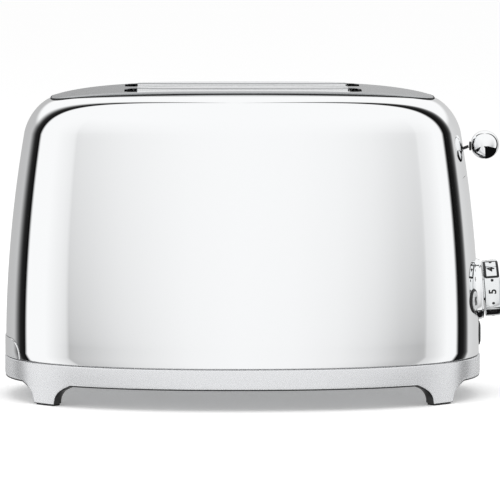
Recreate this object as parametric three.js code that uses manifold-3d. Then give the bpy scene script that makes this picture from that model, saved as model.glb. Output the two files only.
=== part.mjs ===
// Two-slice toaster: chromed shell, satin top, cast base on four feet, and the works inside
// Millimetres. +X is the lever end, +Y the rear, +Z up; the origin is on the floor, in the middle of
// the whole object's width and depth. Inside the group, X and Y are counted from the body's centre.

import * as THREE from 'three';
import { mergeVertices } from 'three/addons/utils/BufferGeometryUtils.js';
import Module from 'manifold-3d';

const wasm = await Module();
wasm.setup();

// Clearances
const seat = 0.3;
const slide = 0.4;
const turn = 0.35;
const overrun = 20;

// Body: a superelliptic plan that tapers up to a rounded shoulder and a domed top
const body = {
  halfWidth: 151, halfDepth: 97, planPower: 2.3, wall: 1.2, bottom: 26.9,
  taperStart: 35.7, shoulder: 172.3, taper: 12.1, taperPower: 1.84,
  cornerWidth: 20, cornerHeight: 21.3, crown: 0.5, endDrop: 3.4, dropReach: 121, dropPower: 4,
  sides: 40, sideLevels: 5, cornerLevels: 4, innerLevels: 3,
};
const bodyTop = body.shoulder + body.cornerHeight;
const cornerShare = [[0, 0], [0.125, 0.553], [0.574, 0.982], [1, 1]];
const crownShare = [0.85, 0.6, 0.25];

// Base ring and feet
const base = {
  outset: 0.7, bottom: 13.9, top: 26.2, bevel: 0.8, round: 2.6, roundIn: 1, wall: 5,
  lip: 2.6, lipTop: 30.4, lipBottom: 15,
};
const roundShare = [0.25, 0.45];
const foot = {
  share: 0.8405, bottom: 1.1, sink: 1.5, halfWidth: 7.6, halfDepth: 6, flareWidth: 12.5, flareDepth: 2.4,
  flarePower: 2.6, planPower: 3.2, sides: 20, levels: 6,
};
const pad = { height: 0.8, inset: 0.9 };
const cover = { thickness: 1.4, ventLength: 34, ventWidth: 3, ventPitch: 22, ventCount: 6, ventRow: 24 };
const gland = {
  x: -60, inset: 29, neck: 5.7, flange: 8.5, bore: 3.4, flangeHeight: 2.2, neckHeight: 5, sides: 20,
};

// Top panel and the two bread slots
const panel = { halfWidth: 122.4, halfDepth: 49.7, planPower: 4.2, thickness: 1.4, rise: 3, sides: 40 };
// Raised border of the panel, as shares of its rise and as insets from its edge
const borderShare = [[0, 0], [0.9, 0.5], [2.6, 0.82], [5.2, 0.96], [8.4, 1]];
const plateauShare = [0.66, 0.33];
const slot = { endGap: 76, width: 33, centre: 24, corner: 8, rim: 1.4, rimRise: 0.4, lipDrop: 10, arc: 4 };

// Heating chamber between the two end plates
const chamber = {
  endGap: 65, plate: 1.5, halfDepth: 50.6, top: 187, shieldY: 48.6, shield: 1, shieldBottom: 36, shieldGap: 3,
};
const heater = {
  offset: 45, thickness: 1.2, bottom: 50, topGap: 8, notch: 2, notchPitch: 15, notchWidth: 3,
};
const flange = { halfDepth: 26, low: 40, topGap: 14 };

// Carriage, its rods and its spring
const rod = { offset: 12.5, y: 18, radius: 3, sleeve: 5.2, sides: 12 };
const carriage = {
  travel: 45, offset: 3.5, plate: 2, bottom: 102, top: 136, halfDepth: 26, sleeveBottom: 112,
  shelf: 2, shelfHalf: 12.6, shelfReach: 12, tabHalf: 4, tabTop: 160,
};
const rest = { top: 112, web: 1.6, webDrop: 8, flangeHalf: 7, flange: 1.2, endGap: 3, teeth: 10, tooth: 1.8 };
const latch = { plate: 1.5, half: 7, offset: 6.5, length: 12, magnetGap: 0.5 };
const spring = { y: 8, wire: 1, coil: 3.2, turns: 10, steps: 8, sides: 5 };
const arm = { half: 2, thick: 1.6, low: 155.2, bendIn: 12.5, endIn: 6.7, endRise: 2.4 };
const collar = { nearIn: 6.4, farIn: 5.2, radius: 2.9, z: 158.6, sides: 20 };
const ball = { out: 3.5, z: 159.4, radius: 9.1, flatIn: 4.9, arc: 11, sides: 24 };
const lever = { slotBottom: 104, slotTop: 166, slotWidth: 6.6, rim: 1.8, sunk: 1.2, depth: 3.4, arc: 4 };

// Bread guides
const guide = {
  rest: 16, close: 7, thickness: 1.6, bottom: 52, topGap: 17, endGap: 3, rail: 3, bars: 7, bar: 2,
  tabHeight: 6, tabLow: 54, tabGap: 2,
};

// Crumb tray and its handle
const tray = {
  halfDepth: 39.5, bottom: 27.4, top: 33.6, floor: 1, wall: 1, rightGap: 5.5,
  handleHalf: 41.4, handleTop: 38.8, handleBottom: 26.7, handleCorner: 11.8, handleThick: 5, proud: 0.6, arc: 4,
};

// Browning dial on the right end
const dial = {
  z: 67, tilt: 4, bezel: 19.5, bezelHub: 10, bezelProud: 2.9, bezelDepth: 3.2, bezelRound: 1.2,
  drum: 17.5, drumNear: 4, drumFar: 13.9, drumRound: 0.8, grip: 1.8, gripHalf: 3.2, gripLength: 30,
  hub: 8, hubNear: 0.6, shaft: 3, shaftNear: -19, shaftFar: 9, sides: 36,
};
const pot = { half: 8.5, near: -25.7, far: -17, bush: 5, bushFar: -9 };
const board = {
  inset: 29, thickness: 1.6, halfDepth: 36, bottom: 33, top: 95, relay: 12, switchHalf: 3.2, switchDepth: 3,
};
const bracket = { y: 33, thickness: 1.5, bottom: 42, top: 88, tab: 7 };

// Push buttons and their indicator lights, placed by angle round the dial
const button = {
  ring: 28.2, radius: 6.5, proud: 0.5, length: 9, dome: 0.5, stem: 2.4, stemEnd: 17, travel: 1.5, sides: 20,
};
const buttonCollar = { wall: 0.8, proud: 0.3, depth: 4 };
const light = { ring: 22.3, radius: 1.3, proud: 0.15, depth: 5, sides: 12 };
const controls = [
  { name: 'front', button: 190, light: 158 },
  { name: 'bottom', button: 270, light: 237 },
  { name: 'rear', button: 350, light: 22 },
];

// Finishes
const finish = (color, roughness, metalness) => new THREE.MeshStandardMaterial({ color, roughness, metalness });
const chrome = finish(0xe8eaec, 0.05, 1);
const satinSteel = finish(0xc9cacb, 0.32, 1);
const castAluminium = finish(0xb4b6b8, 0.38, 1);
const zincSteel = finish(0x9b9fa2, 0.45, 1);
const blackPlastic = finish(0x161617, 0.45, 0);
const palePlastic = finish(0xd9dbdc, 0.35, 0);
const darkRubber = finish(0x222223, 0.8, 0);
const mica = finish(0xbfb49a, 0.7, 0);
const boardGreen = finish(0x2f5a3c, 0.6, 0);
const copper = finish(0xa8623a, 0.35, 1);
const amber = finish(0xe9b04a, 0.25, 0);

const toaster = new THREE.Group();

// Closed solid from a geometry: shared corners merged, slivers dropped, faces turned outwards
function solid(geometry) {
  const bare = new THREE.BufferGeometry();
  bare.setAttribute('position', geometry.getAttribute('position').clone());
  if (geometry.index) bare.setIndex(geometry.index.clone());
  const welded = mergeVertices(bare, 1e-4);
  const index = welded.index.array;
  const at = welded.getAttribute('position');
  const faces = [];
  for (let i = 0; i < index.length; i += 3) {
    const [a, b, c] = [index[i], index[i + 1], index[i + 2]];
    if (a !== b && b !== c && a !== c) faces.push(a, b, c);
  }
  const point = (i) => new THREE.Vector3().fromBufferAttribute(at, i);
  let volume = 0;
  for (let i = 0; i < faces.length; i += 3) {
    volume += point(faces[i]).dot(point(faces[i + 1]).cross(point(faces[i + 2])));
  }
  if (volume < 0) faces.reverse();
  return new wasm.Manifold(new wasm.Mesh({
    numProp: 3, vertProperties: new Float32Array(at.array), triVerts: new Uint32Array(faces),
  }));
}

// Named mesh from a solid, in a group of its own place where one is given
function add(name, shape, material, place = toaster) {
  const mesh = shape.getMesh();
  const geometry = new THREE.BufferGeometry();
  geometry.setAttribute('position', new THREE.BufferAttribute(new Float32Array(mesh.vertProperties), 3));
  geometry.setIndex(new THREE.BufferAttribute(new Uint32Array(mesh.triVerts), 1));
  geometry.computeVertexNormals();
  const node = new THREE.Mesh(geometry, material);
  node.name = name;
  place.add(node);
  return node;
}

// Box between two corners
function box(x0, x1, y0, y1, z0, z1) {
  const block = new THREE.BoxGeometry(x1 - x0, y1 - y0, z1 - z0);
  return solid(block.translate((x0 + x1) / 2, (y0 + y1) / 2, (z0 + z1) / 2));
}

const alongZ = new THREE.Matrix4();
const alongX = new THREE.Matrix4().set(0, 0, 1, 0, 1, 0, 0, 0, 0, 1, 0, 0, 0, 0, 0, 1);
const alongY = new THREE.Matrix4().set(1, 0, 0, 0, 0, 0, -1, 0, 0, 1, 0, 0, 0, 0, 0, 1);

// Prism of an outline from one place to another along an axis; along Y the outline is in X and Z
function prism(outline, from, to, axis = alongZ, curveSegments = slot.arc) {
  const depth = to - from;
  const block = new THREE.ExtrudeGeometry(outline, { depth, bevelEnabled: false, curveSegments });
  block.translate(0, 0, axis === alongY ? -to : from);
  return solid(block.applyMatrix4(axis));
}

// Turned shape about +X from [radius, x] points
function turned(profile, sides) {
  const points = profile.map(([radius, x]) => new THREE.Vector2(radius, x));
  return new THREE.LatheGeometry(points, sides).rotateZ(-Math.PI / 2);
}

// Turned tube, or a rod where the bore is zero
function tube(outer, bore, from, to, sides) {
  const profile = bore > 0
    ? [[bore, from], [outer, from], [outer, to], [bore, to], [bore, from]]
    : [[0, from], [outer, from], [outer, to], [0, to]];
  return turned(profile, sides);
}

// Rectangle with round corners about a centre
function roundedRectangle(width, height, corner, x = 0, y = 0) {
  const shape = new THREE.Shape();
  const [w, h] = [width / 2 - corner, height / 2 - corner];
  shape.absarc(x + w, y + h, corner, 0, Math.PI / 2);
  shape.absarc(x - w, y + h, corner, Math.PI / 2, Math.PI);
  shape.absarc(x - w, y - h, corner, Math.PI, Math.PI * 1.5);
  shape.absarc(x + w, y - h, corner, Math.PI * 1.5, Math.PI * 2);
  return shape;
}

// Superellipse outline with evenly turned points
function superellipse(halfWidth, halfDepth, power, sides) {
  const points = [];
  for (let i = 0; i < sides; i++) {
    const angle = i * Math.PI * 2 / sides;
    const [c, s] = [Math.cos(angle), Math.sin(angle)];
    const x = halfWidth * Math.sign(c) * Math.abs(c) ** (2 / power);
    const y = halfDepth * Math.sign(s) * Math.abs(s) ** (2 / power);
    points.push([x, y]);
  }
  return points;
}

// Closed loft through rings of equal count, lowest first
function loft(rings) {
  const count = rings[0].length;
  const points = rings.flat();
  const faces = [];
  for (let level = 0; level + 1 < rings.length; level++) {
    for (let i = 0; i < count; i++) {
      const a = level * count + i;
      const b = level * count + (i + 1) % count;
      faces.push(a, b, b + count, a, b + count, a + count);
    }
  }
  const middle = (ring) => [0, 1, 2].map((k) => ring.reduce((sum, p) => sum + p[k], 0) / count);
  const [low, high] = [points.length, points.length + 1];
  points.push(middle(rings[0]), middle(rings.at(-1)));
  const last = (rings.length - 1) * count;
  for (let i = 0; i < count; i++) {
    const next = (i + 1) % count;
    faces.push(low, next, i, high, last + i, last + next);
  }
  const geometry = new THREE.BufferGeometry();
  geometry.setAttribute('position', new THREE.Float32BufferAttribute(points.flat(), 3));
  geometry.setIndex(faces);
  return solid(geometry);
}

// Point on the corner's curve at t, as [inset, height] above the shoulder
function cornerAt(t) {
  const weights = [(1 - t) ** 3, 3 * t * (1 - t) ** 2, 3 * t * t * (1 - t), t ** 3];
  const sum = (k) => weights.reduce((total, weight, i) => total + weight * cornerShare[i][k], 0);
  return [body.taper + sum(0) * body.cornerWidth, body.shoulder + sum(1) * body.cornerHeight];
}

// Inset of the side at a height up to the shoulder
function sideInset(z) {
  const rise = Math.max(0, (z - body.taperStart) / (body.shoulder - body.taperStart));
  return body.taper * rise ** body.taperPower;
}

// Outer form of the body, grown or shrunk all round, from a height up to the crown
function bodyForm(grow, bottom, sideLevels = body.sideLevels) {
  const rings = [];
  const ring = (inset, z, scale = 1) => {
    const a = (body.halfWidth + grow - inset) * scale;
    const b = (body.halfDepth + grow - inset) * scale;
    const outline = superellipse(a, b, body.planPower, body.sides);
    const drop = (x) => body.endDrop * Math.abs(x / body.dropReach) ** body.dropPower * (z / bodyTop) ** 3;
    rings.push(outline.map(([x, y]) => [x, y, z - drop(x)]));
  };
  if (bottom < body.taperStart) ring(0, bottom);
  for (let i = 0; i < sideLevels; i++) {
    const z = body.taperStart + (body.shoulder - body.taperStart) * i / sideLevels;
    ring(sideInset(z), z);
  }
  for (let i = 0; i <= body.cornerLevels; i++) {
    const [inset, z] = cornerAt(i / body.cornerLevels);
    ring(inset, z + grow * (z - body.shoulder) / body.cornerHeight);
  }
  for (const share of crownShare) {
    ring(body.taper + body.cornerWidth, bodyTop + grow + body.crown * (1 - share * share), share);
  }
  return loft(rings);
}

const outerForm = bodyForm(0, body.bottom);

// Surface of the right end at a place, as its point and its outward direction
function endSurface(y, z) {
  const a = body.halfWidth - sideInset(z);
  const b = body.halfDepth - sideInset(z);
  const n = body.planPower;
  const x = a * (1 - (Math.abs(y) / b) ** n) ** (1 / n);
  const step = seat;
  const rise = (sideInset(z + step) - sideInset(z)) / step;
  const normal = new THREE.Vector3((x / a) ** (n - 1) / a, Math.sign(y) * (Math.abs(y) / b) ** (n - 1) / b, 0);
  normal.normalize();
  normal.z = rise;
  return { point: new THREE.Vector3(x, y, z), normal: normal.normalize() };
}

// Group whose +X leaves the right end squarely at a place
function placeOn({ point, normal }) {
  const place = new THREE.Group();
  place.position.copy(point);
  place.quaternion.setFromUnitVectors(new THREE.Vector3(1, 0, 0), normal);
  place.updateMatrixWorld(true);
  toaster.add(place);
  return place;
}

// Place on the right end at an angle round the dial, from the rear upwards
function roundDial(ring, angle) {
  const turnTo = THREE.MathUtils.degToRad(angle);
  return endSurface(ring * Math.cos(turnTo), dial.z + ring * Math.sin(turnTo));
}

// Places that follow from the body's length and the chamber
const boardX = body.halfWidth - board.inset;
const chamberInner = body.halfWidth - chamber.endGap;
const plateFace = chamberInner + chamber.plate;
const slotLength = (body.halfWidth - slot.endGap) * 2;
const flangeHigh = chamber.top - flange.topGap;
const carriageX = plateFace + carriage.offset;
const rodX = plateFace + rod.offset;
const ballX = body.halfWidth + ball.out;
const restHalf = chamberInner - rest.endGap;
const guideHalf = chamberInner - guide.endGap;
const guideTop = chamber.top - guide.topGap;
const guideTabHigh = guideTop - guide.tabGap - guide.tabHeight;

const dialTilt = THREE.MathUtils.degToRad(dial.tilt);
const dialPlace = placeOn({
  point: endSurface(0, dial.z).point,
  normal: new THREE.Vector3(Math.cos(dialTilt), 0, Math.sin(dialTilt)),
});
for (const control of controls) {
  control.buttonPlace = placeOn(roundDial(button.ring, control.button));
  control.lightPlace = placeOn(roundDial(light.ring, control.light));
}
const cutter = (place, geometry) => solid(geometry.applyMatrix4(place.matrixWorld));
const collarRadius = button.radius + turn + buttonCollar.wall;

// Arched outline of the tray handle, seen along X
function handleArch(grow) {
  const half = tray.handleHalf + grow;
  const corner = tray.handleCorner + grow;
  const high = tray.handleTop + grow;
  const shape = new THREE.Shape();
  shape.moveTo(-half, tray.handleBottom - grow);
  shape.lineTo(half, tray.handleBottom - grow);
  shape.absarc(half - corner, high - corner, corner, 0, Math.PI / 2);
  shape.absarc(corner - half, high - corner, corner, Math.PI / 2, Math.PI);
  shape.closePath();
  return shape;
}

const leverPill = (grow) => roundedRectangle(
  lever.slotWidth + grow * 2, lever.slotTop - lever.slotBottom + grow * 2, lever.slotWidth / 2 + grow,
  0, (lever.slotTop + lever.slotBottom) / 2);
const panelOutline = (grow) => superellipse(
  panel.halfWidth + grow, panel.halfDepth + grow, panel.planPower, panel.sides);

// Upright prism of a list of points
function pointPrism(points, from, to) {
  return loft([points.map(([x, y]) => [x, y, from]), points.map(([x, y]) => [x, y, to])]);
}

// Body shell, open below, with the openings for the panel, the lever, the controls and the tray
function bodyShell() {
  let shell = outerForm.subtract(bodyForm(-body.wall, body.bottom - overrun, body.innerLevels));
  shell = shell.subtract(pointPrism(panelOutline(seat), body.shoulder, bodyTop + overrun));
  shell = shell.subtract(prism(leverPill(lever.rim + seat), 0, body.halfWidth + overrun, alongX, lever.arc));
  shell = shell.subtract(cutter(dialPlace, tube(dial.bezel + seat, 0, -overrun, overrun, dial.sides)));
  for (const { buttonPlace, lightPlace } of controls) {
    shell = shell.subtract(cutter(buttonPlace, tube(collarRadius + seat, 0, -overrun, overrun, button.sides)));
    shell = shell.subtract(cutter(lightPlace, tube(light.radius + seat, 0, -overrun, overrun, light.sides)));
  }
  return shell.subtract(prism(handleArch(seat), -body.halfWidth - overrun, 0, alongX, tray.arc));
}
add('body_shell', bodyShell(), chrome);

// Slot outline in the top panel, front or rear
const slotOutline = (side, grow) => roundedRectangle(
  slotLength + grow * 2, slot.width + grow * 2, slot.corner + grow, 0, side * slot.centre);

// Height of the domed top over a place
function crownHeight(x, y) {
  const inset = body.taper + body.cornerWidth;
  const n = body.planPower;
  const across = Math.abs(x / (body.halfWidth - inset)) ** n;
  const deep = Math.abs(y / (body.halfDepth - inset)) ** n;
  const share = (across + deep) ** (1 / n);
  const drop = body.endDrop * Math.abs(x / body.dropReach) ** body.dropPower;
  return bodyTop + body.crown * (1 - share * share) - drop;
}

// Rings over the top panel, from its edge up the rounded border and in over the plateau
function panelRings(lift) {
  const ring = (inset, rise, scale = 1) => panelOutline(-inset).map(([x, y]) =>
    [x * scale, y * scale, crownHeight(x * scale, y * scale) + panel.rise * rise + lift]);
  const plateau = borderShare.at(-1)[0];
  return [
    ...borderShare.map(([inset, share]) => ring(inset, share)),
    ...plateauShare.map((share) => ring(plateau, 1, share)),
  ];
}

// Top panel: a pressed plate with a rounded border and an opening for each slot
const slotPrism = (side, grow, low) => prism(slotOutline(side, grow), low, bodyTop + overrun);
const frameLow = bodyTop - slot.lipDrop;
function topPanel() {
  let whole = loft([...panelRings(-panel.thickness).reverse(), ...panelRings(0)]);
  for (const side of [-1, 1]) whole = whole.subtract(slotPrism(side, slot.rim + seat, frameLow - overrun));
  return whole;
}
add('top_panel', topPanel(), satinSteel);

// Slot frames: liners of the slots, whose upper edge follows the panel and stands a little over it
const frameForm = loft([panelOutline(0).map(([x, y]) => [x, y, frameLow]), ...panelRings(slot.rimRise)]);
for (const [name, side] of [['front', -1], ['rear', 1]]) {
  const frame = slotPrism(side, slot.rim, frameLow).subtract(slotPrism(side, 0, frameLow - overrun));
  add(`slot_frame_${name}`, frame.intersect(frameForm), satinSteel);
}

// Ring that follows the body's plan, from its outer and inner growth
function planRing(outer, inner, from, to) {
  const outline = (grow) => superellipse(
    body.halfWidth + grow, body.halfDepth + grow, body.planPower, body.sides);
  const hole = pointPrism(outline(inner), from - overrun, to + overrun);
  return pointPrism(outline(outer), from, to).subtract(hole);
}

// Place on the base's outline near a corner: its point and the angle of its outward direction
function cornerPlace() {
  const a = body.halfWidth + base.outset;
  const b = body.halfDepth + base.outset;
  const n = body.planPower;
  const y = b * (1 - foot.share ** n) ** (1 / n);
  const angle = Math.atan2((y / b) ** (n - 1) / b, foot.share ** (n - 1) / a);
  return { x: a * foot.share, y, angle };
}

// Block that follows a foot's plan, inset all round, through [height, flare] levels; its face is the base's own
function footBlock(levels, inset) {
  const { x, y, angle } = cornerPlace();
  const rings = levels.map(([z, flare]) => {
    const deep = foot.halfDepth + foot.flareDepth * flare - inset;
    const wide = foot.halfWidth + foot.flareWidth * flare - inset;
    const back = foot.halfDepth + foot.flareDepth * flare - foot.sink;
    return superellipse(deep, wide, foot.planPower, foot.sides).map(([u, v]) => [
      x + (u - back) * Math.cos(angle) - v * Math.sin(angle),
      y + (u - back) * Math.sin(angle) + v * Math.cos(angle), z]);
  });
  const plan = superellipse(
    body.halfWidth + base.outset - inset, body.halfDepth + base.outset - inset, body.planPower, body.sides);
  return loft(rings).intersect(pointPrism(plan, -overrun, base.top));
}

// The four corners of the base, as mirrored copies of a solid at the rear right one
const corners = [
  { name: 'rear_right', x: 1, y: 1 }, { name: 'rear_left', x: -1, y: 1 },
  { name: 'front_left', x: -1, y: -1 }, { name: 'front_right', x: 1, y: -1 },
];
const atCorner = (shape, { x, y }) => {
  const acrossX = x < 0 ? shape.mirror([1, 0, 0]) : shape;
  return y < 0 ? acrossX.mirror([0, 1, 0]) : acrossX;
};

// Cast base: a ring with a bevelled top edge, a lip inside the shell and four flared feet
function baseFrame() {
  const outline = (grow) => superellipse(
    body.halfWidth + grow, body.halfDepth + grow, body.planPower, body.sides);
  const level = (grow, z) => outline(grow).map(([x, y]) => [x, y, z]);
  const block = loft([
    level(base.outset - base.roundIn, base.bottom),
    level(base.outset - base.roundIn * roundShare[0], base.bottom + base.round * roundShare[1]),
    level(base.outset, base.bottom + base.round),
    level(base.outset, base.top - base.bevel), level(base.outset - base.bevel, base.top)]);
  let ring = block.subtract(pointPrism(outline(-base.wall), base.bottom - overrun, base.top + overrun));
  const lipOuter = -body.wall - seat;
  ring = ring.add(planRing(lipOuter, lipOuter - base.lip, base.lipBottom, base.lipTop));
  const footTop = base.lipBottom - seat;
  const levels = [];
  for (let i = 0; i <= foot.levels; i++) {
    const share = i / foot.levels;
    levels.push([foot.bottom + (footTop - foot.bottom) * share, share ** foot.flarePower]);
  }
  const one = footBlock(levels, 0);
  for (const corner of corners) ring = ring.add(atCorner(one, corner));
  return ring.subtract(prism(handleArch(seat), -body.halfWidth - overrun, 0, alongX, tray.arc));
}
add('base_frame', baseFrame(), castAluminium);

const padBlock = footBlock([[0, 0], [pad.height, 0]], pad.inset);
for (const corner of corners) add(`foot_pad_${corner.name}`, atCorner(padBlock, corner), darkRubber);

const glandY = body.halfDepth - gland.inset;

// Bottom cover with two rows of vents and the hole for the cord gland
function bottomCover() {
  const reach = Math.max(base.wall, body.wall + seat + base.lip) + seat;
  const outline = superellipse(
    body.halfWidth - reach, body.halfDepth - reach, body.planPower, body.sides);
  const top = base.lipBottom + cover.thickness;
  let plate = pointPrism(outline, base.lipBottom, top);
  for (const row of [-1, 1]) {
    for (let i = 0; i < cover.ventCount; i++) {
      const x = (i - (cover.ventCount - 1) / 2) * cover.ventPitch;
      const vent = roundedRectangle(
        cover.ventWidth, cover.ventLength, cover.ventWidth / 2, x, row * cover.ventRow);
      plate = plate.subtract(prism(vent, base.lipBottom - overrun, top + overrun, alongZ, 1));
    }
  }
  const hole = tube(gland.neck + seat, 0, -overrun, overrun, gland.sides).rotateY(-Math.PI / 2);
  return plate.subtract(solid(hole.translate(gland.x, glandY, top)));
}
add('bottom_cover', bottomCover(), zincSteel);

// Cord gland, a flanged bush that passes up through the bottom cover
function cordGland() {
  const top = gland.neckHeight;
  const profile = [
    [gland.bore, 0], [gland.flange, 0], [gland.flange, gland.flangeHeight], [gland.neck, gland.flangeHeight],
    [gland.neck, top], [gland.bore, top], [gland.bore, 0]];
  return solid(turned(profile, gland.sides).rotateY(-Math.PI / 2));
}
const glandNode = add('cord_gland', cordGland(), blackPlastic);
glandNode.position.set(gland.x, glandY, base.lipBottom - seat - gland.flangeHeight);

// End plate of the heating chamber, with its tray window, bread rest slots and guide slots
function endPlate(near) {
  const far = near + chamber.plate;
  const bottom = base.lipBottom + cover.thickness + seat;
  const cut = (y0, y1, z0, z1) => box(near - overrun, far + overrun, y0, y1, z0, z1);
  let plate = box(near, far, -chamber.halfDepth, chamber.halfDepth, bottom, chamber.top);
  const trayHalf = tray.halfDepth + slide;
  plate = plate.subtract(cut(-trayHalf, trayHalf, tray.bottom - seat, tray.top + slide));
  for (const side of [-1, 1]) {
    const half = rest.web / 2 + slide;
    const middle = side * slot.centre;
    const low = rest.top - rest.webDrop - carriage.travel - slide;
    plate = plate.subtract(cut(middle - half, middle + half, low, rest.top + slide));
    for (const face of [-1, 1]) {
      const [outer, inner] = [guide.rest, guide.rest - guide.close - guide.thickness - slide];
      const ends = [middle + face * (outer + slide), middle + face * inner].sort((a, b) => a - b);
      for (const tab of [guide.tabLow, guideTabHigh]) {
        plate = plate.subtract(cut(ends[0], ends[1], tab - slide, tab + guide.tabHeight + slide));
      }
    }
  }
  return plate;
}
const leftPlate = -chamberInner - chamber.plate;
add('chassis_plate_left', endPlate(leftPlate), zincSteel);

// Right end plate, with the bent flanges that hold the guide rods and the latch magnet
function rodPlate() {
  let plate = endPlate(chamberInner);
  const far = boardX - board.relay - seat;
  for (const z of [flange.low, flangeHigh]) {
    plate = plate.add(box(chamberInner, far, -flange.halfDepth, flange.halfDepth, z, z + chamber.plate));
  }
  return plate;
}
add('chassis_plate_right', rodPlate(), zincSteel);

const boardReach = chamberInner - seat;
for (const [name, side] of [['front', -1], ['rear', 1]]) {
  const near = side < 0 ? -chamber.shieldY - chamber.shield : chamber.shieldY;
  const high = chamber.top - chamber.shieldGap;
  const shield = box(-boardReach, boardReach, near, near + chamber.shield, chamber.shieldBottom, high);
  add(`heat_shield_${name}`, shield, zincSteel);
}

// Heater board: a mica sheet whose upper and lower edges are notched for the winding
const heaterTop = chamber.top - heater.topGap;
function heaterBoard() {
  const half = heater.thickness / 2;
  const shape = new THREE.Shape();
  const wide = slotLength / 2;
  const count = Math.round(wide * 2 / heater.notchPitch);
  const start = -(count - 1) * heater.notchPitch / 2;
  const edge = (z, dip, order) => {
    for (let i = 0; i < count; i++) {
      const x = start + (order > 0 ? i : count - 1 - i) * heater.notchPitch;
      const [near, far] = [x - order * heater.notchWidth / 2, x + order * heater.notchWidth / 2];
      shape.lineTo(near, z);
      shape.lineTo(x, z + dip);
      shape.lineTo(far, z);
    }
  };
  shape.moveTo(-boardReach, heater.bottom);
  edge(heater.bottom, heater.notch, 1);
  shape.lineTo(boardReach, heater.bottom);
  shape.lineTo(boardReach, heaterTop);
  edge(heaterTop, -heater.notch, -1);
  shape.lineTo(-boardReach, heaterTop);
  shape.closePath();
  return prism(shape, -half, half, alongY);
}
for (const [name, y] of [['front', -heater.offset], ['centre', 0], ['rear', heater.offset]]) {
  add(`heater_board_${name}`, heaterBoard(), mica).position.y = y;
}

// Guide rods, between the flanges of the right end plate
const rodLow = flange.low + chamber.plate + seat;
const rodHigh = flangeHigh - seat;
for (const [name, y] of [['front', -rod.y], ['rear', rod.y]]) {
  const shaft = solid(tube(rod.radius, 0, rodLow, rodHigh, rod.sides).rotateY(-Math.PI / 2));
  add(`guide_rod_${name}`, shaft, satinSteel).position.set(rodX, y, 0);
}

// Carriage bracket: a plate with a lever tab, two sleeves on the rods and a shelf for latch and spring
function carriageBracket() {
  const { plate, bottom, top, halfDepth, tabHalf, tabTop } = carriage;
  const face = carriageX + plate;
  let shape = box(carriageX, face, -halfDepth, halfDepth, bottom, top);
  shape = shape.add(box(carriageX, face, -tabHalf, tabHalf, bottom, tabTop));
  const shelfTop = carriage.sleeveBottom + carriage.shelf;
  const [shelfHalf, shelfFar] = [carriage.shelfHalf, face + carriage.shelfReach];
  shape = shape.add(box(carriageX, shelfFar, -shelfHalf, shelfHalf, carriage.sleeveBottom, shelfTop));
  for (const side of [-1, 1]) {
    const sleeve = solid(tube(rod.sleeve, 0, carriage.sleeveBottom, top, rod.sides * 2)
      .rotateY(-Math.PI / 2).translate(rodX, side * rod.y, 0));
    const middle = side * rod.y;
    const web = box(carriageX, rodX, middle - plate / 2, middle + plate / 2, carriage.sleeveBottom, top);
    shape = shape.add(sleeve).add(web);
  }
  for (const side of [-1, 1]) {
    const bore = tube(rod.radius + slide, 0, bottom, top + overrun, rod.sides * 2).rotateY(-Math.PI / 2);
    shape = shape.subtract(solid(bore.translate(rodX, side * rod.y, 0)));
  }
  return shape;
}
add('carriage_bracket', carriageBracket(), zincSteel);

// Bread rest: a toothed sill on a web that runs through both end plates
function breadRest() {
  const reach = carriageX - seat;
  const tip = plateFace + chamber.plate;
  let shape = box(-tip, reach, -rest.web / 2, rest.web / 2, rest.top - rest.webDrop, rest.top - rest.flange);
  const half = rest.flangeHalf;
  const outline = new THREE.Shape();
  const pitch = restHalf * 2 / rest.teeth;
  outline.moveTo(-restHalf, -half);
  for (const order of [1, -1]) {
    for (let i = 0; i < rest.teeth; i++) {
      const x = order * (i * pitch - restHalf);
      outline.lineTo(x + order * pitch / 4, -order * half);
      outline.lineTo(x + order * pitch / 2, -order * (half - rest.tooth));
      outline.lineTo(x + order * pitch * 0.75, -order * half);
    }
    outline.lineTo(order * restHalf, -order * half);
    outline.lineTo(order * restHalf, order * half);
  }
  outline.closePath();
  return shape.add(prism(outline, rest.top - rest.flange, rest.top));
}
for (const [name, side] of [['front', -1], ['rear', 1]]) {
  add(`bread_rest_${name}`, breadRest(), zincSteel).position.y = side * slot.centre;
}

// Latch plate under the shelf, and the magnet that holds it at the bottom of the travel
const latchNear = plateFace + latch.offset;
const latchTop = carriage.sleeveBottom - seat;
const latchFar = latchNear + latch.length;
const latchPlate = box(latchNear, latchFar, -latch.half, latch.half, latchTop - latch.plate, latchTop);
add('latch_plate', latchPlate, satinSteel);
const magnetTop = latchTop - latch.plate - carriage.travel - latch.magnetGap;
const magnetBottom = flange.low + chamber.plate + seat;
const latchMagnet = box(latchNear, latchFar, -latch.half, latch.half, magnetBottom, magnetTop);
add('latch_magnet', latchMagnet, copper);

// Return spring between the carriage shelf and the upper flange
class Coil extends THREE.Curve {
  constructor(low, high) {
    super();
    this.low = low;
    this.high = high;
  }

  getPoint(t, target = new THREE.Vector3()) {
    const angle = t * spring.turns * Math.PI * 2;
    const z = this.low + (this.high - this.low) * t;
    return target.set(spring.coil * Math.cos(angle), spring.coil * Math.sin(angle), z);
  }
}
function returnSpring() {
  const low = carriage.sleeveBottom + carriage.shelf + seat + spring.wire;
  const high = flangeHigh - seat - spring.wire;
  const section = new THREE.Shape(superellipse(spring.wire / 2, spring.wire / 2, 2, spring.sides)
    .map(([x, y]) => new THREE.Vector2(x, y)));
  const coil = new THREE.ExtrudeGeometry(section, {
    steps: spring.turns * spring.steps, extrudePath: new Coil(low, high),
    bevelEnabled: false,
  });
  return solid(coil);
}
add('carriage_spring', returnSpring(), satinSteel).position.set(rodX, spring.y, 0);

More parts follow.
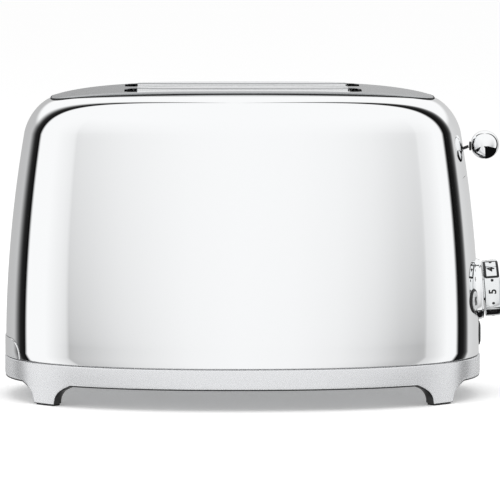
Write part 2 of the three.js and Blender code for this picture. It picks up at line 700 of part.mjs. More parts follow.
// Lever: a flat arm out of the slot, a black collar and a ball
function leverArm() {
  const armBend = body.halfWidth - arm.bendIn;
  const armEnd = body.halfWidth - arm.endIn;
  const shape = new THREE.Shape();
  const low = arm.low;
  shape.moveTo(carriageX + carriage.plate + seat, low);
  shape.lineTo(armBend, low);
  shape.lineTo(armEnd, low + arm.endRise);
  shape.lineTo(armEnd, low + arm.endRise + arm.thick);
  shape.lineTo(armBend, low + arm.thick);
  shape.lineTo(carriageX + carriage.plate + seat, low + arm.thick);
  shape.closePath();
  return prism(shape, -arm.half, arm.half, alongY);
}
add('lever_arm', leverArm(), blackPlastic);
const collarSpan = [body.halfWidth - collar.nearIn, body.halfWidth - collar.farIn];
const leverCollar = solid(tube(collar.radius, 0, ...collarSpan, collar.sides));
add('lever_collar', leverCollar, blackPlastic).position.z = collar.z;

function leverBall() {
  const flat = -ball.out - ball.flatIn;
  const start = Math.acos(-flat / ball.radius);
  const profile = [[0, flat]];
  for (let i = 0; i <= ball.arc; i++) {
    const angle = start + (Math.PI - start) * i / ball.arc;
    const radius = i === ball.arc ? 0 : ball.radius * Math.sin(angle);
    profile.push([radius, -ball.radius * Math.cos(angle)]);
  }
  return solid(turned(profile, ball.sides));
}
add('lever_ball', leverBall(), chrome).position.set(ballX, 0, ball.z);

// Rim of the lever slot, sunk a little into the shell so that the ball clears it as it goes down
function leverRim() {
  const ring = prism(leverPill(lever.rim), 0, body.halfWidth + overrun, alongX, lever.arc)
    .subtract(prism(leverPill(0), -overrun, body.halfWidth + overrun * 2, alongX, lever.arc));
  const skin = bodyForm(-lever.sunk, body.bottom).subtract(bodyForm(-lever.depth, body.bottom - overrun));
  return ring.intersect(skin);
}
add('lever_rim', leverRim(), chrome);

// Bread guide: a grille with rails and bars, and four tabs that run in the end plates
function breadGuide() {
  const half = guide.thickness / 2;
  const { bottom, rail, bar, bars } = guide;
  const [halfLength, top] = [guideHalf, guideTop];
  const middle = (bottom + top) / 2;
  let grille = box(-halfLength, halfLength, -half, half, bottom, bottom + rail)
    .add(box(-halfLength, halfLength, -half, half, middle - rail / 2, middle + rail / 2))
    .add(box(-halfLength, halfLength, -half, half, top - rail, top));
  const pitch = (halfLength * 2 - bar) / (bars - 1);
  for (let i = 0; i < bars; i++) {
    const near = -halfLength + i * pitch;
    grille = grille.add(box(near, near + bar, -half, half, bottom, top));
  }
  const reach = plateFace + seat;
  for (const tab of [guide.tabLow, guideTabHigh]) {
    for (const end of [-1, 1]) {
      const [near, far] = [end * (guideHalf - guide.bar), end * reach].sort((a, b) => a - b);
      grille = grille.add(box(near, far, -half, half, tab, tab + guide.tabHeight));
    }
  }
  return grille;
}
for (const [name, side] of [['front', -1], ['rear', 1]]) {
  for (const [face, order] of [['outer', side], ['inner', -side]]) {
    const y = side * slot.centre + order * (guide.rest - guide.thickness / 2);
    add(`bread_guide_${name}_${face}`, breadGuide(), satinSteel).position.y = y;
  }
}

// Crumb tray: a shallow pan whose outer end follows the inside of its handle
function crumbTray() {
  const trayRight = plateFace + tray.rightGap;
  const innerForm = bodyForm(-tray.handleThick - seat, body.bottom - overrun);
  const half = tray.halfDepth;
  const pan = box(-body.halfWidth, trayRight, -half, half, tray.bottom, tray.top).intersect(innerForm);
  const wellForm = bodyForm(-tray.handleThick - seat - tray.wall * 2, body.bottom - overrun);
  const well = box(
    -body.halfWidth, trayRight - tray.wall, tray.wall - half, half - tray.wall,
    tray.bottom + tray.floor, tray.top + overrun).intersect(wellForm);
  return pan.subtract(well);
}
add('crumb_tray', crumbTray(), zincSteel);

// Handle of the tray: an arched block that follows the left end and stands a little proud of it
function trayHandle() {
  const arch = prism(handleArch(0), -body.halfWidth - overrun, 0, alongX, tray.arc);
  const bottom = body.bottom - overrun;
  return arch.intersect(bodyForm(tray.proud, bottom)).subtract(bodyForm(-tray.handleThick, bottom - overrun));
}
add('tray_handle', trayHandle(), castAluminium);

// Bezel of the dial, set into the shell
function dialBezel() {
  const { bezel, bezelHub, bezelProud, bezelDepth, bezelRound } = dial;
  const face = bezelProud;
  return solid(turned([
    [bezelHub, -bezelDepth], [bezel, -bezelDepth], [bezel, face - bezelRound], [bezel - bezelRound, face],
    [bezelHub, face], [bezelHub, -bezelDepth]], dial.sides));
}
add('dial_bezel', dialBezel(), chrome, dialPlace);

// Dial: a drum with a hub behind it, a bore for the shaft and a grip bar across its face
function dialDrum() {
  const { drum, drumNear, drumFar, drumRound, hub, hubNear, shaft, shaftFar } = dial;
  const bore = shaft + seat;
  const pocket = shaftFar + seat;
  let shape = solid(turned([
    [bore, hubNear], [hub, hubNear], [hub, drumNear], [drum, drumNear], [drum, drumFar - drumRound],
    [drum - drumRound, drumFar], [0, drumFar], [0, pocket], [bore, pocket], [bore, hubNear]], dial.sides));
  const bar = roundedRectangle(dial.gripLength, dial.gripHalf * 2, dial.gripHalf);
  shape = shape.add(prism(bar, drumFar - drumRound, drumFar + dial.grip, alongX, lever.arc));
  return shape;
}
add('dial_knob', dialDrum(), chrome, dialPlace);
add('dial_shaft', solid(tube(dial.shaft, 0, dial.shaftNear, dial.shaftFar, rod.sides)), satinSteel, dialPlace);

// Potentiometer behind the dial: a square body and a bush, bored for the shaft
function potentiometer() {
  let shape = box(pot.near, pot.far, -pot.half, pot.half, -pot.half, pot.half);
  shape = shape.add(solid(tube(pot.bush, 0, pot.far - seat, pot.bushFar, dial.sides / 2)));
  const bore = dial.shaft + seat;
  return shape.subtract(solid(tube(bore, 0, dial.shaftNear - seat, pot.bushFar + overrun, dial.sides / 2)));
}
add('potentiometer', potentiometer(), blackPlastic, dialPlace);

// Control board with a switch behind each button and a relay
function controlBoard() {
  const face = boardX + board.thickness;
  let shape = box(boardX, face, -board.halfDepth, board.halfDepth, board.bottom, board.top);
  for (const { buttonPlace } of controls) {
    const tip = new THREE.Vector3(-button.stemEnd - button.travel, 0, 0).applyMatrix4(buttonPlace.matrixWorld);
    const half = board.switchHalf;
    const far = face + board.switchDepth;
    shape = shape.add(box(boardX, far, tip.y - half, tip.y + half, tip.z - half, tip.z + half));
  }
  const relay = board.relay;
  const relayBottom = board.bottom + relay / 2;
  return shape.add(box(boardX - relay, boardX + seat, -relay, relay, relayBottom, relayBottom + relay * 1.5));
}
add('control_board', controlBoard(), boardGreen);

// Brackets that carry the control board on the right end plate
for (const [name, side] of [['front', -1], ['rear', 1]]) {
  const { y, thickness, bottom, top, tab } = bracket;
  const near = plateFace + seat;
  const far = boardX - seat;
  const arch = box(near, far, y, y + thickness, bottom, top)
    .add(box(near, near + thickness, y, y + tab, bottom, top))
    .add(box(far - thickness, far, y - tab, y + thickness, bottom, top));
  add(`board_bracket_${name}`, side < 0 ? arch.mirror([0, 1, 0]) : arch, zincSteel);
}

// Button: a round cap that guides in its collar, with a stem towards its switch
function buttonCap() {
  const { radius, proud, length, dome, stem, stemEnd } = button;
  return solid(turned([
    [0, -stemEnd], [stem, -stemEnd], [stem, -length], [radius, -length], [radius, proud - dome],
    [radius - dome, proud], [0, proud]], button.sides));
}
function collarRing() {
  const inner = button.radius + turn;
  const outer = inner + buttonCollar.wall;
  return solid(tube(outer, inner, -buttonCollar.depth, buttonCollar.proud, button.sides));
}
for (const { name, buttonPlace, lightPlace } of controls) {
  add(`button_${name}`, buttonCap(), palePlastic, buttonPlace);
  add(`button_collar_${name}`, collarRing(), blackPlastic, buttonPlace);
  const lens = solid(tube(light.radius, 0, -light.depth, light.proud, light.sides));
  add(`indicator_${name}`, lens, amber, lightPlace);
}

// The dial and the lever stand out on one side, so the group is moved to centre the whole width
const extent = new THREE.Box3().setFromObject(toaster, true);
toaster.position.x = -(extent.min.x + extent.max.x) / 2;

export default toaster;
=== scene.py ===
# Two-slice toaster: mirror-chromed shell, satin top panel, cast base, chrome dial and ball lever
# Sizes are in millimetres from the middle of the body; finished meshes are metres in the row frame

import math
import bmesh
import bpy
from mathutils import Matrix, Vector
from mathutils.bvhtree import BVHTree


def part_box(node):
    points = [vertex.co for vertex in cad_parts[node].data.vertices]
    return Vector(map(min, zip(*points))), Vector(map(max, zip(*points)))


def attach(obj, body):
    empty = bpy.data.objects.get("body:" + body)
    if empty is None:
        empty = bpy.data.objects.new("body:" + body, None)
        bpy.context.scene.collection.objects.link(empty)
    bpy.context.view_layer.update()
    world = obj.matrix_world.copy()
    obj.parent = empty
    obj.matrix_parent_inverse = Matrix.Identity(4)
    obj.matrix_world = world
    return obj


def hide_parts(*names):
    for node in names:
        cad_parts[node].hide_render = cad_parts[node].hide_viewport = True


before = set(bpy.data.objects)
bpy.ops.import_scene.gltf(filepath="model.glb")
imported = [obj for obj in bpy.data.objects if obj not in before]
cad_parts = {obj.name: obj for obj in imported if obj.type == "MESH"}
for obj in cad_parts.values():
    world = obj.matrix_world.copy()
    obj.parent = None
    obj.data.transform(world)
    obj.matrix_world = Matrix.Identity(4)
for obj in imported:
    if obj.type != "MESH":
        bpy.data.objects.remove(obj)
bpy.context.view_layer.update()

base_low, base_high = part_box("base_frame")
middle_x = (base_low[0] + base_high[0]) / 2
to_frame = Matrix.Translation((middle_x, 0, 0)) @ Matrix.Scale(0.001, 4)
scene = bpy.context.scene

# Sizes shared with the part's source
body = dict(half_width=151.0, half_depth=97.0, power=2.3, wall=1.2, bottom=26.9, taper_start=35.7,
            shoulder=172.3, taper=12.1, taper_power=1.84, corner_width=20.0, corner_height=21.3,
            crown=0.5, end_drop=3.4, reach=121.0, drop_power=4.0)
body_top = body["shoulder"] + body["corner_height"]
corner_share = [(0, 0), (0.125, 0.553), (0.574, 0.982), (1, 1)]
slot_length, slot_width, slot_corner, slot_y = 150.0, 33.0, 8.0, 24.0

# Gap round a piece that sits in an opening, and round one that moves in it
seat, turn = 0.3, 0.35

# How much higher the middle of the top stands than its ends, how far out, and the heights this sets in over
lift, lift_reach, lift_low, lift_high = 1.35, 118.0, 165.0, 193.0

# A distance from which a ray meets the toaster from outside
far = 400


# Colours, nodes and meshes

def colour(code):
    """Linear RGBA of an sRGB hex colour."""
    parts = [int(code[i:i + 2], 16) / 255 for i in (1, 3, 5)]
    return [p / 12.92 if p <= 0.04045 else ((p + 0.055) / 1.055) ** 2.4 for p in parts] + [1]


def add(tree, kind, sockets=None, **settings):
    """Adds a node with its settings. A socket given a node's output is linked to it, and any other is set."""
    node = tree.nodes.new(kind)
    for key, value in settings.items():
        setattr(node, key, value)
    for key, value in (sockets or {}).items():
        if isinstance(value, bpy.types.NodeSocket):
            tree.links.new(value, node.inputs[key])
        else:
            node.inputs[key].default_value = value
    return node


def blank(name):
    """A material without nodes, and its tree."""
    material = bpy.data.materials.new(name)
    material.use_nodes = True
    material.node_tree.nodes.clear()
    return material, material.node_tree


def new_finish(name, base, **values):
    """A material with one Principled shader."""
    material, tree = blank(name)
    shader = add(tree, "ShaderNodeBsdfPrincipled", {"Base Color": colour(base), **values})
    add(tree, "ShaderNodeOutputMaterial", {"Surface": shader.outputs[0]})
    return material


def vary(material, socket, low, high, scale, detail=4.0, stretch=(1, 1, 1), bump=0.0):
    """Drives a socket between two values by cloudy noise with a grain of 1/scale metres, with a relief of
    bump metres."""
    tree = material.node_tree
    shader = tree.nodes["Principled BSDF"]
    place = add(tree, "ShaderNodeTexCoord").outputs["Object"]
    pull = add(tree, "ShaderNodeMapping", {"Vector": place, "Scale": stretch}).outputs[0]
    noise = add(tree, "ShaderNodeTexNoise", {"Vector": pull, "Scale": scale, "Detail": detail}).outputs["Fac"]
    spread = add(tree, "ShaderNodeMapRange", {"Value": noise, "From Min": 0.3, "From Max": 0.7})
    value = spread.outputs[0]
    if isinstance(low, str):
        value = add(tree, "ShaderNodeMix", {"Factor": value, 6: colour(low), 7: colour(high)},
                    data_type="RGBA").outputs[2]
    else:
        spread.inputs["To Min"].default_value = low
        spread.inputs["To Max"].default_value = high
    tree.links.new(value, shader.inputs[socket])
    if bump:
        relief = add(tree, "ShaderNodeBump", {"Height": noise, "Distance": bump, "Strength": 1.0})
        tree.links.new(relief.outputs[0], shader.inputs["Normal"])


def new_object(name, data):
    thing = bpy.data.objects.new(name, data)
    scene.collection.objects.link(thing)
    return thing


def mesh_of(points, faces):
    """A mesh of points and of faces that name them by number."""
    mesh = bpy.data.meshes.new("raw")
    mesh.from_pydata([tuple(p) for p in points], [], faces)
    mesh.update()
    return mesh


def loft(rings):
    """Closed mesh through rings of equal count, each in the same turning order."""
    count = len(rings[0])
    faces = []
    for level in range(len(rings) - 1):
        here, there = level * count, (level + 1) * count
        for i in range(count):
            j = (i + 1) % count
            faces.append((here + i, here + j, there + j, there + i))
    faces.append(tuple(reversed(range(count))))
    last = (len(rings) - 1) * count
    faces.append(tuple(range(last, last + count)))
    return outward(mesh_of([p for ring in rings for p in ring], faces))


def clamp(share):
    """A share kept between 0 and 1."""
    return min(1.0, max(0.0, share))


def superellipse(half_width, half_depth, power, sides):
    """Outline that turns from +X to +Y, an ellipse for a power of 2 and squarer above it."""
    ring = []
    for i in range(sides):
        c, s = math.cos(math.tau * i / sides), math.sin(math.tau * i / sides)
        ring.append((half_width * math.copysign(abs(c) ** (2 / power), c),
                     half_depth * math.copysign(abs(s) ** (2 / power), s)))
    return ring


def rounded(width, height, corner, steps=10):
    """Rectangle with round corners about the origin, turning from +X to +Y."""
    ring = []
    for turn_index, (sx, sy) in enumerate([(1, 1), (-1, 1), (-1, -1), (1, -1)]):
        for i in range(steps + 1):
            angle = (turn_index + i / steps) * math.pi / 2
            ring.append((sx * (width / 2 - corner) + corner * math.cos(angle),
                         sy * (height / 2 - corner) + corner * math.sin(angle)))
    return ring


def prism(outline, low, high, axis="Z"):
    """Closed prism of a 2D outline. Along X the outline lies in Y and Z."""
    if axis == "X":
        return loft([[(w, u, v) for u, v in outline] for w in (low, high)])
    return loft([[(u, v, w) for u, v in outline] for w in (low, high)])


def turned(profile, sides, place=None):
    """Shape turned about +X through (radius, x) points; a radius of 0 is a pole."""
    points, faces, rows = [], [], []
    for radius, x in profile:
        if radius == 0:
            rows.append([len(points)] * sides)
            points.append((x, 0, 0))
        else:
            rows.append(list(range(len(points), len(points) + sides)))
            for i in range(sides):
                angle = math.tau * i / sides
                points.append((x, radius * math.cos(angle), radius * math.sin(angle)))
    for low, high in zip(rows, rows[1:]):
        for i in range(sides):
            j = (i + 1) % sides
            face = [low[i], low[j], high[j], high[i]]
            face = [v for k, v in enumerate(face) if v != face[k - 1]]
            if len(face) > 2:
                faces.append(face)
    mesh = outward(mesh_of(points, faces))
    if place:
        mesh.transform(place)
    return mesh


def outward(mesh):
    """A mesh with its doubles merged and its faces turned out."""
    work = bmesh.new()
    work.from_mesh(mesh)
    bmesh.ops.remove_doubles(work, verts=work.verts, dist=1e-4)
    bmesh.ops.recalc_face_normals(work, faces=work.faces)
    work.to_mesh(mesh)
    work.free()
    mesh.update()
    return mesh


def joined(meshes):
    """One mesh of several."""
    work = bmesh.new()
    for mesh in meshes:
        work.from_mesh(mesh)
    whole = bpy.data.meshes.new("joined")
    work.to_mesh(whole)
    work.free()
    return whole


def plain(thing):
    """The evaluated mesh of an object, which is then removed."""
    mesh = bpy.data.meshes.new_from_object(thing.evaluated_get(bpy.context.evaluated_depsgraph_get()))
    bpy.data.objects.remove(thing)
    return mesh


def combine(mesh, others, operation="DIFFERENCE"):
    """A mesh cut by other closed meshes, or kept inside them alone."""
    first = new_object("first", mesh)
    second = new_object("second", joined(others))
    step = first.modifiers.new("step", "BOOLEAN")
    step.solver = "EXACT"
    step.operation = operation
    step.use_self = len(others) > 1
    step.object = second
    result = plain(first)
    bpy.data.objects.remove(second)
    return result


def surface_of(mesh):
    """Search tree of a mesh's triangles, with their corners and smooth normals."""
    work = bmesh.new()
    work.from_mesh(mesh)
    bmesh.ops.triangulate(work, faces=work.faces)
    work.normal_update()
    corners = [[v.co.copy() for v in f.verts] for f in work.faces]
    normals = [[v.normal.copy() for v in f.verts] for f in work.faces]
    tree = BVHTree.FromBMesh(work)
    work.free()
    return tree, corners, normals


def normal_at(surface, spot, index):
    """Smooth normal of a surface at a spot on one of its triangles."""
    (a, b, c), normals = surface[1][index], surface[2][index]
    whole = (b - a).cross(c - a).length
    if whole < 1e-12:
        return normals[0]
    shares = [(p - spot).cross(q - spot).length for p, q in ((b, c), (c, a), (a, b))]
    return sum((n * s for n, s in zip(normals, shares)), Vector()).normalized()


def shade_as(mesh, surface, reach=0.03, likeness=0.94):
    """Gives a cut mesh the smooth normals of its uncut surface, with faces that turn away from it flat."""
    found = []
    for vertex in mesh.vertices:
        spot, _, index, distance = surface[0].find_nearest(vertex.co)
        found.append(normal_at(surface, spot, index) if distance < reach else None)
    normals = [None] * len(mesh.loops)
    mesh.shade_smooth()
    for face in mesh.polygons:
        for loop, vertex in zip(face.loop_indices, face.vertices):
            near = found[vertex]
            follows = near is not None and near.dot(face.normal) > likeness
            normals[loop] = near if follows else face.normal.copy()
    mesh.normals_split_custom_set(normals)


def finished(name, mesh, material, body_name, *nodes, smooth=None):
    """Puts a mesh in the frame as a piece that rides on a body and may stand for CAD nodes. Smooth is the
    widest angle that shades as one surface."""
    mesh.materials.clear()
    mesh.materials.append(material)
    if smooth is not None:
        mesh.shade_smooth()
        mesh.set_sharp_from_angle(angle=math.radians(smooth))
    mesh.transform(to_frame)
    piece = new_object(name, mesh)
    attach(piece, body_name)
    if nodes:
        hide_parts(*nodes)


# Finishes

# Chromium plate over a pressed and polished steel sheet: a bright mirror, with the faintest haze from wiping
chrome = new_finish("chromium_plated_polished_steel", "#f9fafb", Metallic=1.0)
vary(chrome, "Roughness", 0.012, 0.035, 28.0)

# Die-cast aluminium, blasted and clear-lacquered: a soft satin with a fine, even grain
cast = new_finish("cast_aluminium_satin_lacquered", "#e6e7e9", Metallic=0.6)
vary(cast, "Roughness", 0.26, 0.29, 900.0)

# Brushed stainless steel: hairlines along the length of the top, from 2 mm down to about 0.2 mm apart
brushed = new_finish("stainless_steel_fine_brushed", "#a6a8aa", Metallic=1.0)
vary(brushed, "Roughness", 0.16, 0.30, 500.0, stretch=(0.02, 1, 1), bump=0.000006)

# The same steel, drawn over the slot edges: smoother and brighter, with faint drawing marks down the wall
lip_steel = new_finish("stainless_steel_drawn_lips", "#e6e7e8", Metallic=1.0)
vary(lip_steel, "Roughness", 0.16, 0.24, 400.0, stretch=(1, 1, 0.1))

# Black polyamide, moulded: near black, half matt, with a fine spark-eroded grain
black = new_finish("black_polyamide_moulded", "#151516", Roughness=0.42)
vary(black, "Base Color", "#121213", "#1b1b1c", 1500.0, bump=0.00001)

# Natural rubber compound, moulded: dull black with a dusty bloom
rubber = new_finish("black_rubber_moulded", "#202021", Roughness=0.85)
vary(rubber, "Base Color", "#1a1a1b", "#2a2a2b", 600.0, bump=0.00003)

# Black vitreous enamel on sheet steel: deep, glossy black with a slight orange peel
enamel = new_finish("black_vitreous_enamel", "#0d0d0e", Roughness=0.25)
vary(enamel, "Roughness", 0.18, 0.32, 300.0, bump=0.000008)

# Zinc-coated sheet steel, stamped: a cool grey with the flowery patches that zinc leaves
zinc = new_finish("zinc_coated_steel_stamped", "#9fa3a6", Metallic=1.0)
vary(zinc, "Roughness", 0.30, 0.50, 90.0)
vary(zinc, "Base Color", "#94989b", "#b0b4b7", 60.0, detail=1.0)

# Chromium plate over moulded ABS: a slightly softer mirror than plated steel, with a faint polishing swirl
dial_chrome = new_finish("chromium_plated_abs", "#eef0f1", Metallic=1.0)
vary(dial_chrome, "Roughness", 0.06, 0.12, 60.0)

# Screen-printed epoxy ink: a flat black film with a slightly dusty edge
ink = new_finish("black_epoxy_ink_printed", "#0c0c0d", Roughness=0.5)
vary(ink, "Base Color", "#0a0a0b", "#151516", 900.0)

# Pale grey ABS, moulded and lightly polished: half gloss, with the faint cloud of the tool
pale = new_finish("pale_grey_abs_moulded", "#d9dbdc", Roughness=0.32)
vary(pale, "Base Color", "#d2d4d5", "#e0e2e3", 300.0, bump=0.000006)

# Smoked polycarbonate light pipe: dark amber under a gloss skin
lens_finish = new_finish("smoked_polycarbonate_lens", "#3a2a16", Roughness=0.08, IOR=1.58)
vary(lens_finish, "Base Color", "#33240f", "#49361d", 500.0)

# Nickel-plated steel wire: bright drawn wire with a slightly yellow tone and fine die lines
plated = new_finish("nickel_plated_steel_wire", "#c4c0b6", Metallic=1.0)
vary(plated, "Roughness", 0.18, 0.34, 250.0, stretch=(1, 1, 0.2))

# Aluminium-coated steel sheet, rolled: bright grey, streaked along the roll, with a warm heat tint in clouds
shield_sheet = new_finish("aluminised_steel_sheet_rolled", "#b3b3b1", Metallic=1.0)
vary(shield_sheet, "Roughness", 0.28, 0.46, 160.0, stretch=(0.08, 1, 1))
vary(shield_sheet, "Base Color", "#a8a49c", "#bdbdbb", 30.0, detail=2.0)

# Pressed mica sheet: tan flakes about 2 mm across, with a pearly gloss
mica = new_finish("mica_sheet_pressed", "#b9ad90", Roughness=0.5)
vary(mica, "Base Color", "#a3967a", "#cfc5aa", 420.0, detail=1.0, bump=0.00002)
vary(mica, "Roughness", 0.35, 0.65, 420.0, detail=1.0)

# Nickel-chromium ribbon, oxidised by heat: dark grey-brown metal
nichrome = new_finish("nickel_chromium_ribbon_oxidised", "#6d655d", Metallic=0.9)
vary(nichrome, "Roughness", 0.40, 0.60, 300.0)
vary(nichrome, "Base Color", "#5c544d", "#7d756c", 120.0)

# Lacquered copper wire, wound: warm red-brown with the lines of its turns, about 0.5 mm apart
copper = new_finish("lacquered_copper_winding", "#a4552f", Metallic=0.9)
vary(copper, "Roughness", 0.25, 0.40, 200.0)
vary(copper, "Base Color", "#8f4526", "#b5653a", 2000.0, stretch=(0.1, 0.1, 1), bump=0.00005)

# Glass epoxy board with green solder mask: half gloss, faintly clouded by the glass cloth under it
board_green = new_finish("glass_epoxy_solder_mask", "#23553a", Roughness=0.35)
vary(board_green, "Base Color", "#1e4a32", "#2a6344", 700.0, bump=0.00001)


# Node trees

def new_tree(name, *inputs):
    """A Geometry Nodes tree with inputs of (name, kind), and the sockets that give them inside it."""
    tree = bpy.data.node_groups.new(name, "GeometryNodeTree")
    for label, kind in inputs:
        tree.interface.new_socket(label, in_out="INPUT", socket_type="NodeSocket" + kind)
    tree.interface.new_socket("Mesh", in_out="OUTPUT", socket_type="NodeSocketGeometry")
    return tree, add(tree, "NodeGroupInput").outputs


def end_tree(tree, geometry, finish):
    """Ends a tree with plain geometry of one finish."""
    real = add(tree, "GeometryNodeRealizeInstances", {"Geometry": geometry}).outputs[0]
    done = add(tree, "GeometryNodeSetMaterial", {"Geometry": real, "Material": finish}).outputs[0]
    add(tree, "NodeGroupOutput", {0: done})
    return tree


def from_tree(tree, start, **inputs):
    """The plain mesh that a tree makes from a starting mesh. Its inputs are named with _ for a space."""
    thing = new_object("start", start)
    step = thing.modifiers.new("tree", "NODES")
    step.node_group = tree
    for item in tree.interface.items_tree:
        key = item.name.replace(" ", "_")
        if item.in_out == "INPUT" and key in inputs:
            step[item.identifier] = inputs[key]
    thing.data.update()
    return plain(thing)


def plan_sweep():
    """Sweeps a profile round a superelliptic plan. Its points hold inset, share of the plan and height."""
    sizes = ("Half width", "Half depth", "Power", "End drop", "Reach", "Drop power", "Top")
    tree, given = new_tree("plan_sweep", ("Profile", "Geometry"), ("Rows", "Int"), ("Sides", "Int"),
                           *[(size, "Float") for size in sizes], ("Finish", "Material"))
    values = {name: given[name] for name in ("Rows", "Sides", *sizes)}
    values["index"] = add(tree, "GeometryNodeInputIndex").outputs[0]

    def work_out(steps):
        """Adds a Math node for each (name, operation, first value, second value)."""
        for name, operation, first, second in steps:
            pair = {0: values.get(first, first), 1: values.get(second, second)}
            values[name] = add(tree, "ShaderNodeMath", pair, operation=operation).outputs[0]

    work_out([
        ("columns", "ADD", "Sides", 1), ("over", "DIVIDE", "index", "Rows"), ("column", "FLOOR", "over", 0),
        ("start", "MULTIPLY", "column", "Rows"), ("row", "SUBTRACT", "index", "start"),
        ("share", "DIVIDE", "column", "Sides"), ("angle", "MULTIPLY", "share", math.tau),
        ("curve", "DIVIDE", 2, "Power"),
        ("cos", "COSINE", "angle", 0), ("cos_size", "ABSOLUTE", "cos", 0), ("cos_side", "SIGN", "cos", 0),
        ("sin", "SINE", "angle", 0), ("sin_size", "ABSOLUTE", "sin", 0), ("sin_side", "SIGN", "sin", 0),
        ("cos_bent", "POWER", "cos_size", "curve"), ("along", "MULTIPLY", "cos_bent", "cos_side"),
        ("sin_bent", "POWER", "sin_size", "curve"), ("across", "MULTIPLY", "sin_bent", "sin_side"),
    ])
    place = add(tree, "GeometryNodeInputPosition").outputs[0]
    sample = add(tree, "GeometryNodeSampleIndex",
                 {"Geometry": given["Profile"], "Value": place, "Index": values["row"]},
                 data_type="FLOAT_VECTOR").outputs[0]
    parts = add(tree, "ShaderNodeSeparateXYZ", {0: sample}).outputs
    values.update(inset=parts[0], scale=parts[1], height=parts[2])
    work_out([
        ("width", "SUBTRACT", "Half width", "inset"), ("depth", "SUBTRACT", "Half depth", "inset"),
        ("wide", "MULTIPLY", "width", "scale"), ("deep", "MULTIPLY", "depth", "scale"),
        ("x", "MULTIPLY", "along", "wide"), ("y", "MULTIPLY", "across", "deep"),
        ("out", "DIVIDE", "x", "Reach"), ("out_size", "ABSOLUTE", "out", 0),
        ("out_bent", "POWER", "out_size", "Drop power"),
        ("up", "DIVIDE", "height", "Top"), ("up_cube", "POWER", "up", 3),
        ("fall", "MULTIPLY", "out_bent", "up_cube"), ("drop", "MULTIPLY", "fall", "End drop"),
        ("z", "SUBTRACT", "height", "drop"),
    ])
    spot = add(tree, "ShaderNodeCombineXYZ", {0: values["x"], 1: values["y"], 2: values["z"]}).outputs[0]
    counts = {"Vertices X": values["columns"], "Vertices Y": given["Rows"]}
    grid = add(tree, "GeometryNodeMeshGrid", counts).outputs[0]
    moved = add(tree, "GeometryNodeSetPosition", {"Geometry": grid, "Position": spot}).outputs[0]
    merged = add(tree, "GeometryNodeMergeByDistance", {"Geometry": moved, "Distance": 0.001}).outputs[0]
    smooth = add(tree, "GeometryNodeSetShadeSmooth", {"Geometry": merged}).outputs[0]
    return end_tree(tree, smooth, given["Finish"])


def path_sweep():
    """Draws a profile along every line of a path mesh, its x to the right of the way and its y down."""
    tree, given = new_tree("path_sweep", ("Path", "Geometry"), ("Profile", "Object"), ("Finish", "Material"))
    shape = add(tree, "GeometryNodeObjectInfo", {"Object": given["Profile"]}).outputs["Geometry"]
    section = add(tree, "GeometryNodeMeshToCurve", {"Mesh": shape}).outputs[0]
    line = add(tree, "GeometryNodeMeshToCurve", {"Mesh": given["Path"]}).outputs[0]
    level = add(tree, "GeometryNodeSetCurveNormal", {"Curve": line}, mode="Z_UP").outputs[0]
    drawn = add(tree, "GeometryNodeCurveToMesh",
                {"Curve": level, "Profile Curve": section, "Fill Caps": True}).outputs[0]
    return end_tree(tree, drawn, given["Finish"])


def copies_on_points():
    """Sets one copy of a shape on every point of a mesh."""
    tree, given = new_tree("copies_on_points", ("Points", "Geometry"), ("Shape", "Object"),
                           ("Finish", "Material"))
    shape = add(tree, "GeometryNodeObjectInfo", {"Object": given["Shape"]}).outputs["Geometry"]
    points = add(tree, "GeometryNodeMeshToPoints", {"Mesh": given["Points"]}).outputs[0]
    spread = add(tree, "GeometryNodeInstanceOnPoints", {"Points": points, "Instance": shape}).outputs[0]
    return end_tree(tree, spread, given["Finish"])


swept_tree, drawn_tree, copied_tree = plan_sweep(), path_sweep(), copies_on_points()


def swept(profile, sides, finish, **changes):
    """A profile of (inset, share, height) swept round the body's plan, or round one with changed sizes."""
    plan = {**body, **changes}
    keys = ("half_width", "half_depth", "power", "end_drop", "reach", "drop_power")
    sizes = {key.capitalize(): plan[key] for key in keys}
    return from_tree(swept_tree, mesh_of(profile, []), Rows=len(profile), Sides=sides, Top=body_top,
                     Finish=finish, **sizes)


def drawn(lines, profile, finish):
    """A closed profile drawn along lines, given as (points, whether the line is closed)."""
    points, edges = [], []
    for line, closed in lines:
        first = len(points)
        points += [tuple(p) + (0,) * (3 - len(p)) for p in line]
        last = len(points) - 1
        edges += [(i, i + 1) for i in range(first, last)] + ([(last, first)] if closed else [])
    path = bpy.data.meshes.new("path")
    path.from_pydata(points, edges, [])
    section = bpy.data.meshes.new("section")
    count = len(profile)
    section.from_pydata([(u, v, 0) for u, v in profile], [(i, (i + 1) % count) for i in range(count)], [])
    shape = new_object("section", section)
    mesh = from_tree(drawn_tree, path, Profile=shape, Finish=finish)
    bpy.data.objects.remove(shape)
    return outward(mesh)


def copied(shape, points, finish):
    """A mesh set on each point, as one plain mesh."""
    holder = new_object("shape", shape)
    mesh = from_tree(copied_tree, mesh_of(points, []), Shape=holder, Finish=finish)
    bpy.data.objects.remove(holder)
    return mesh


def dense(ring, step, like=None):
    """A closed outline with its long sides divided, in as many parts as those of a like outline."""
    points = []
    like = like or ring
    for a, b, c, d in zip(ring, ring[1:] + ring[:1], like, like[1:] + like[:1]):
        count = max(1, math.ceil(math.dist(c, d) / step))
        points += [tuple(Vector(a).lerp(Vector(b), i / count)) for i in range(count)]
    return points


def circle(radius, sides):
    """Points of a whole circle, the first on the x axis."""
    angles = [math.tau * i / sides for i in range(sides)]
    return [(radius * math.cos(angle), radius * math.sin(angle)) for angle in angles]


# Body shell, swept by a rule

wall_steps, corner_steps, crown_steps, crown_centre = 34, 26, 14, 0.05


def lift_at(x):
    """How much higher the middle of the body's top stands at a place along it."""
    return lift * (1 - min(1.0, abs(x) / lift_reach) ** 2) ** 1.2


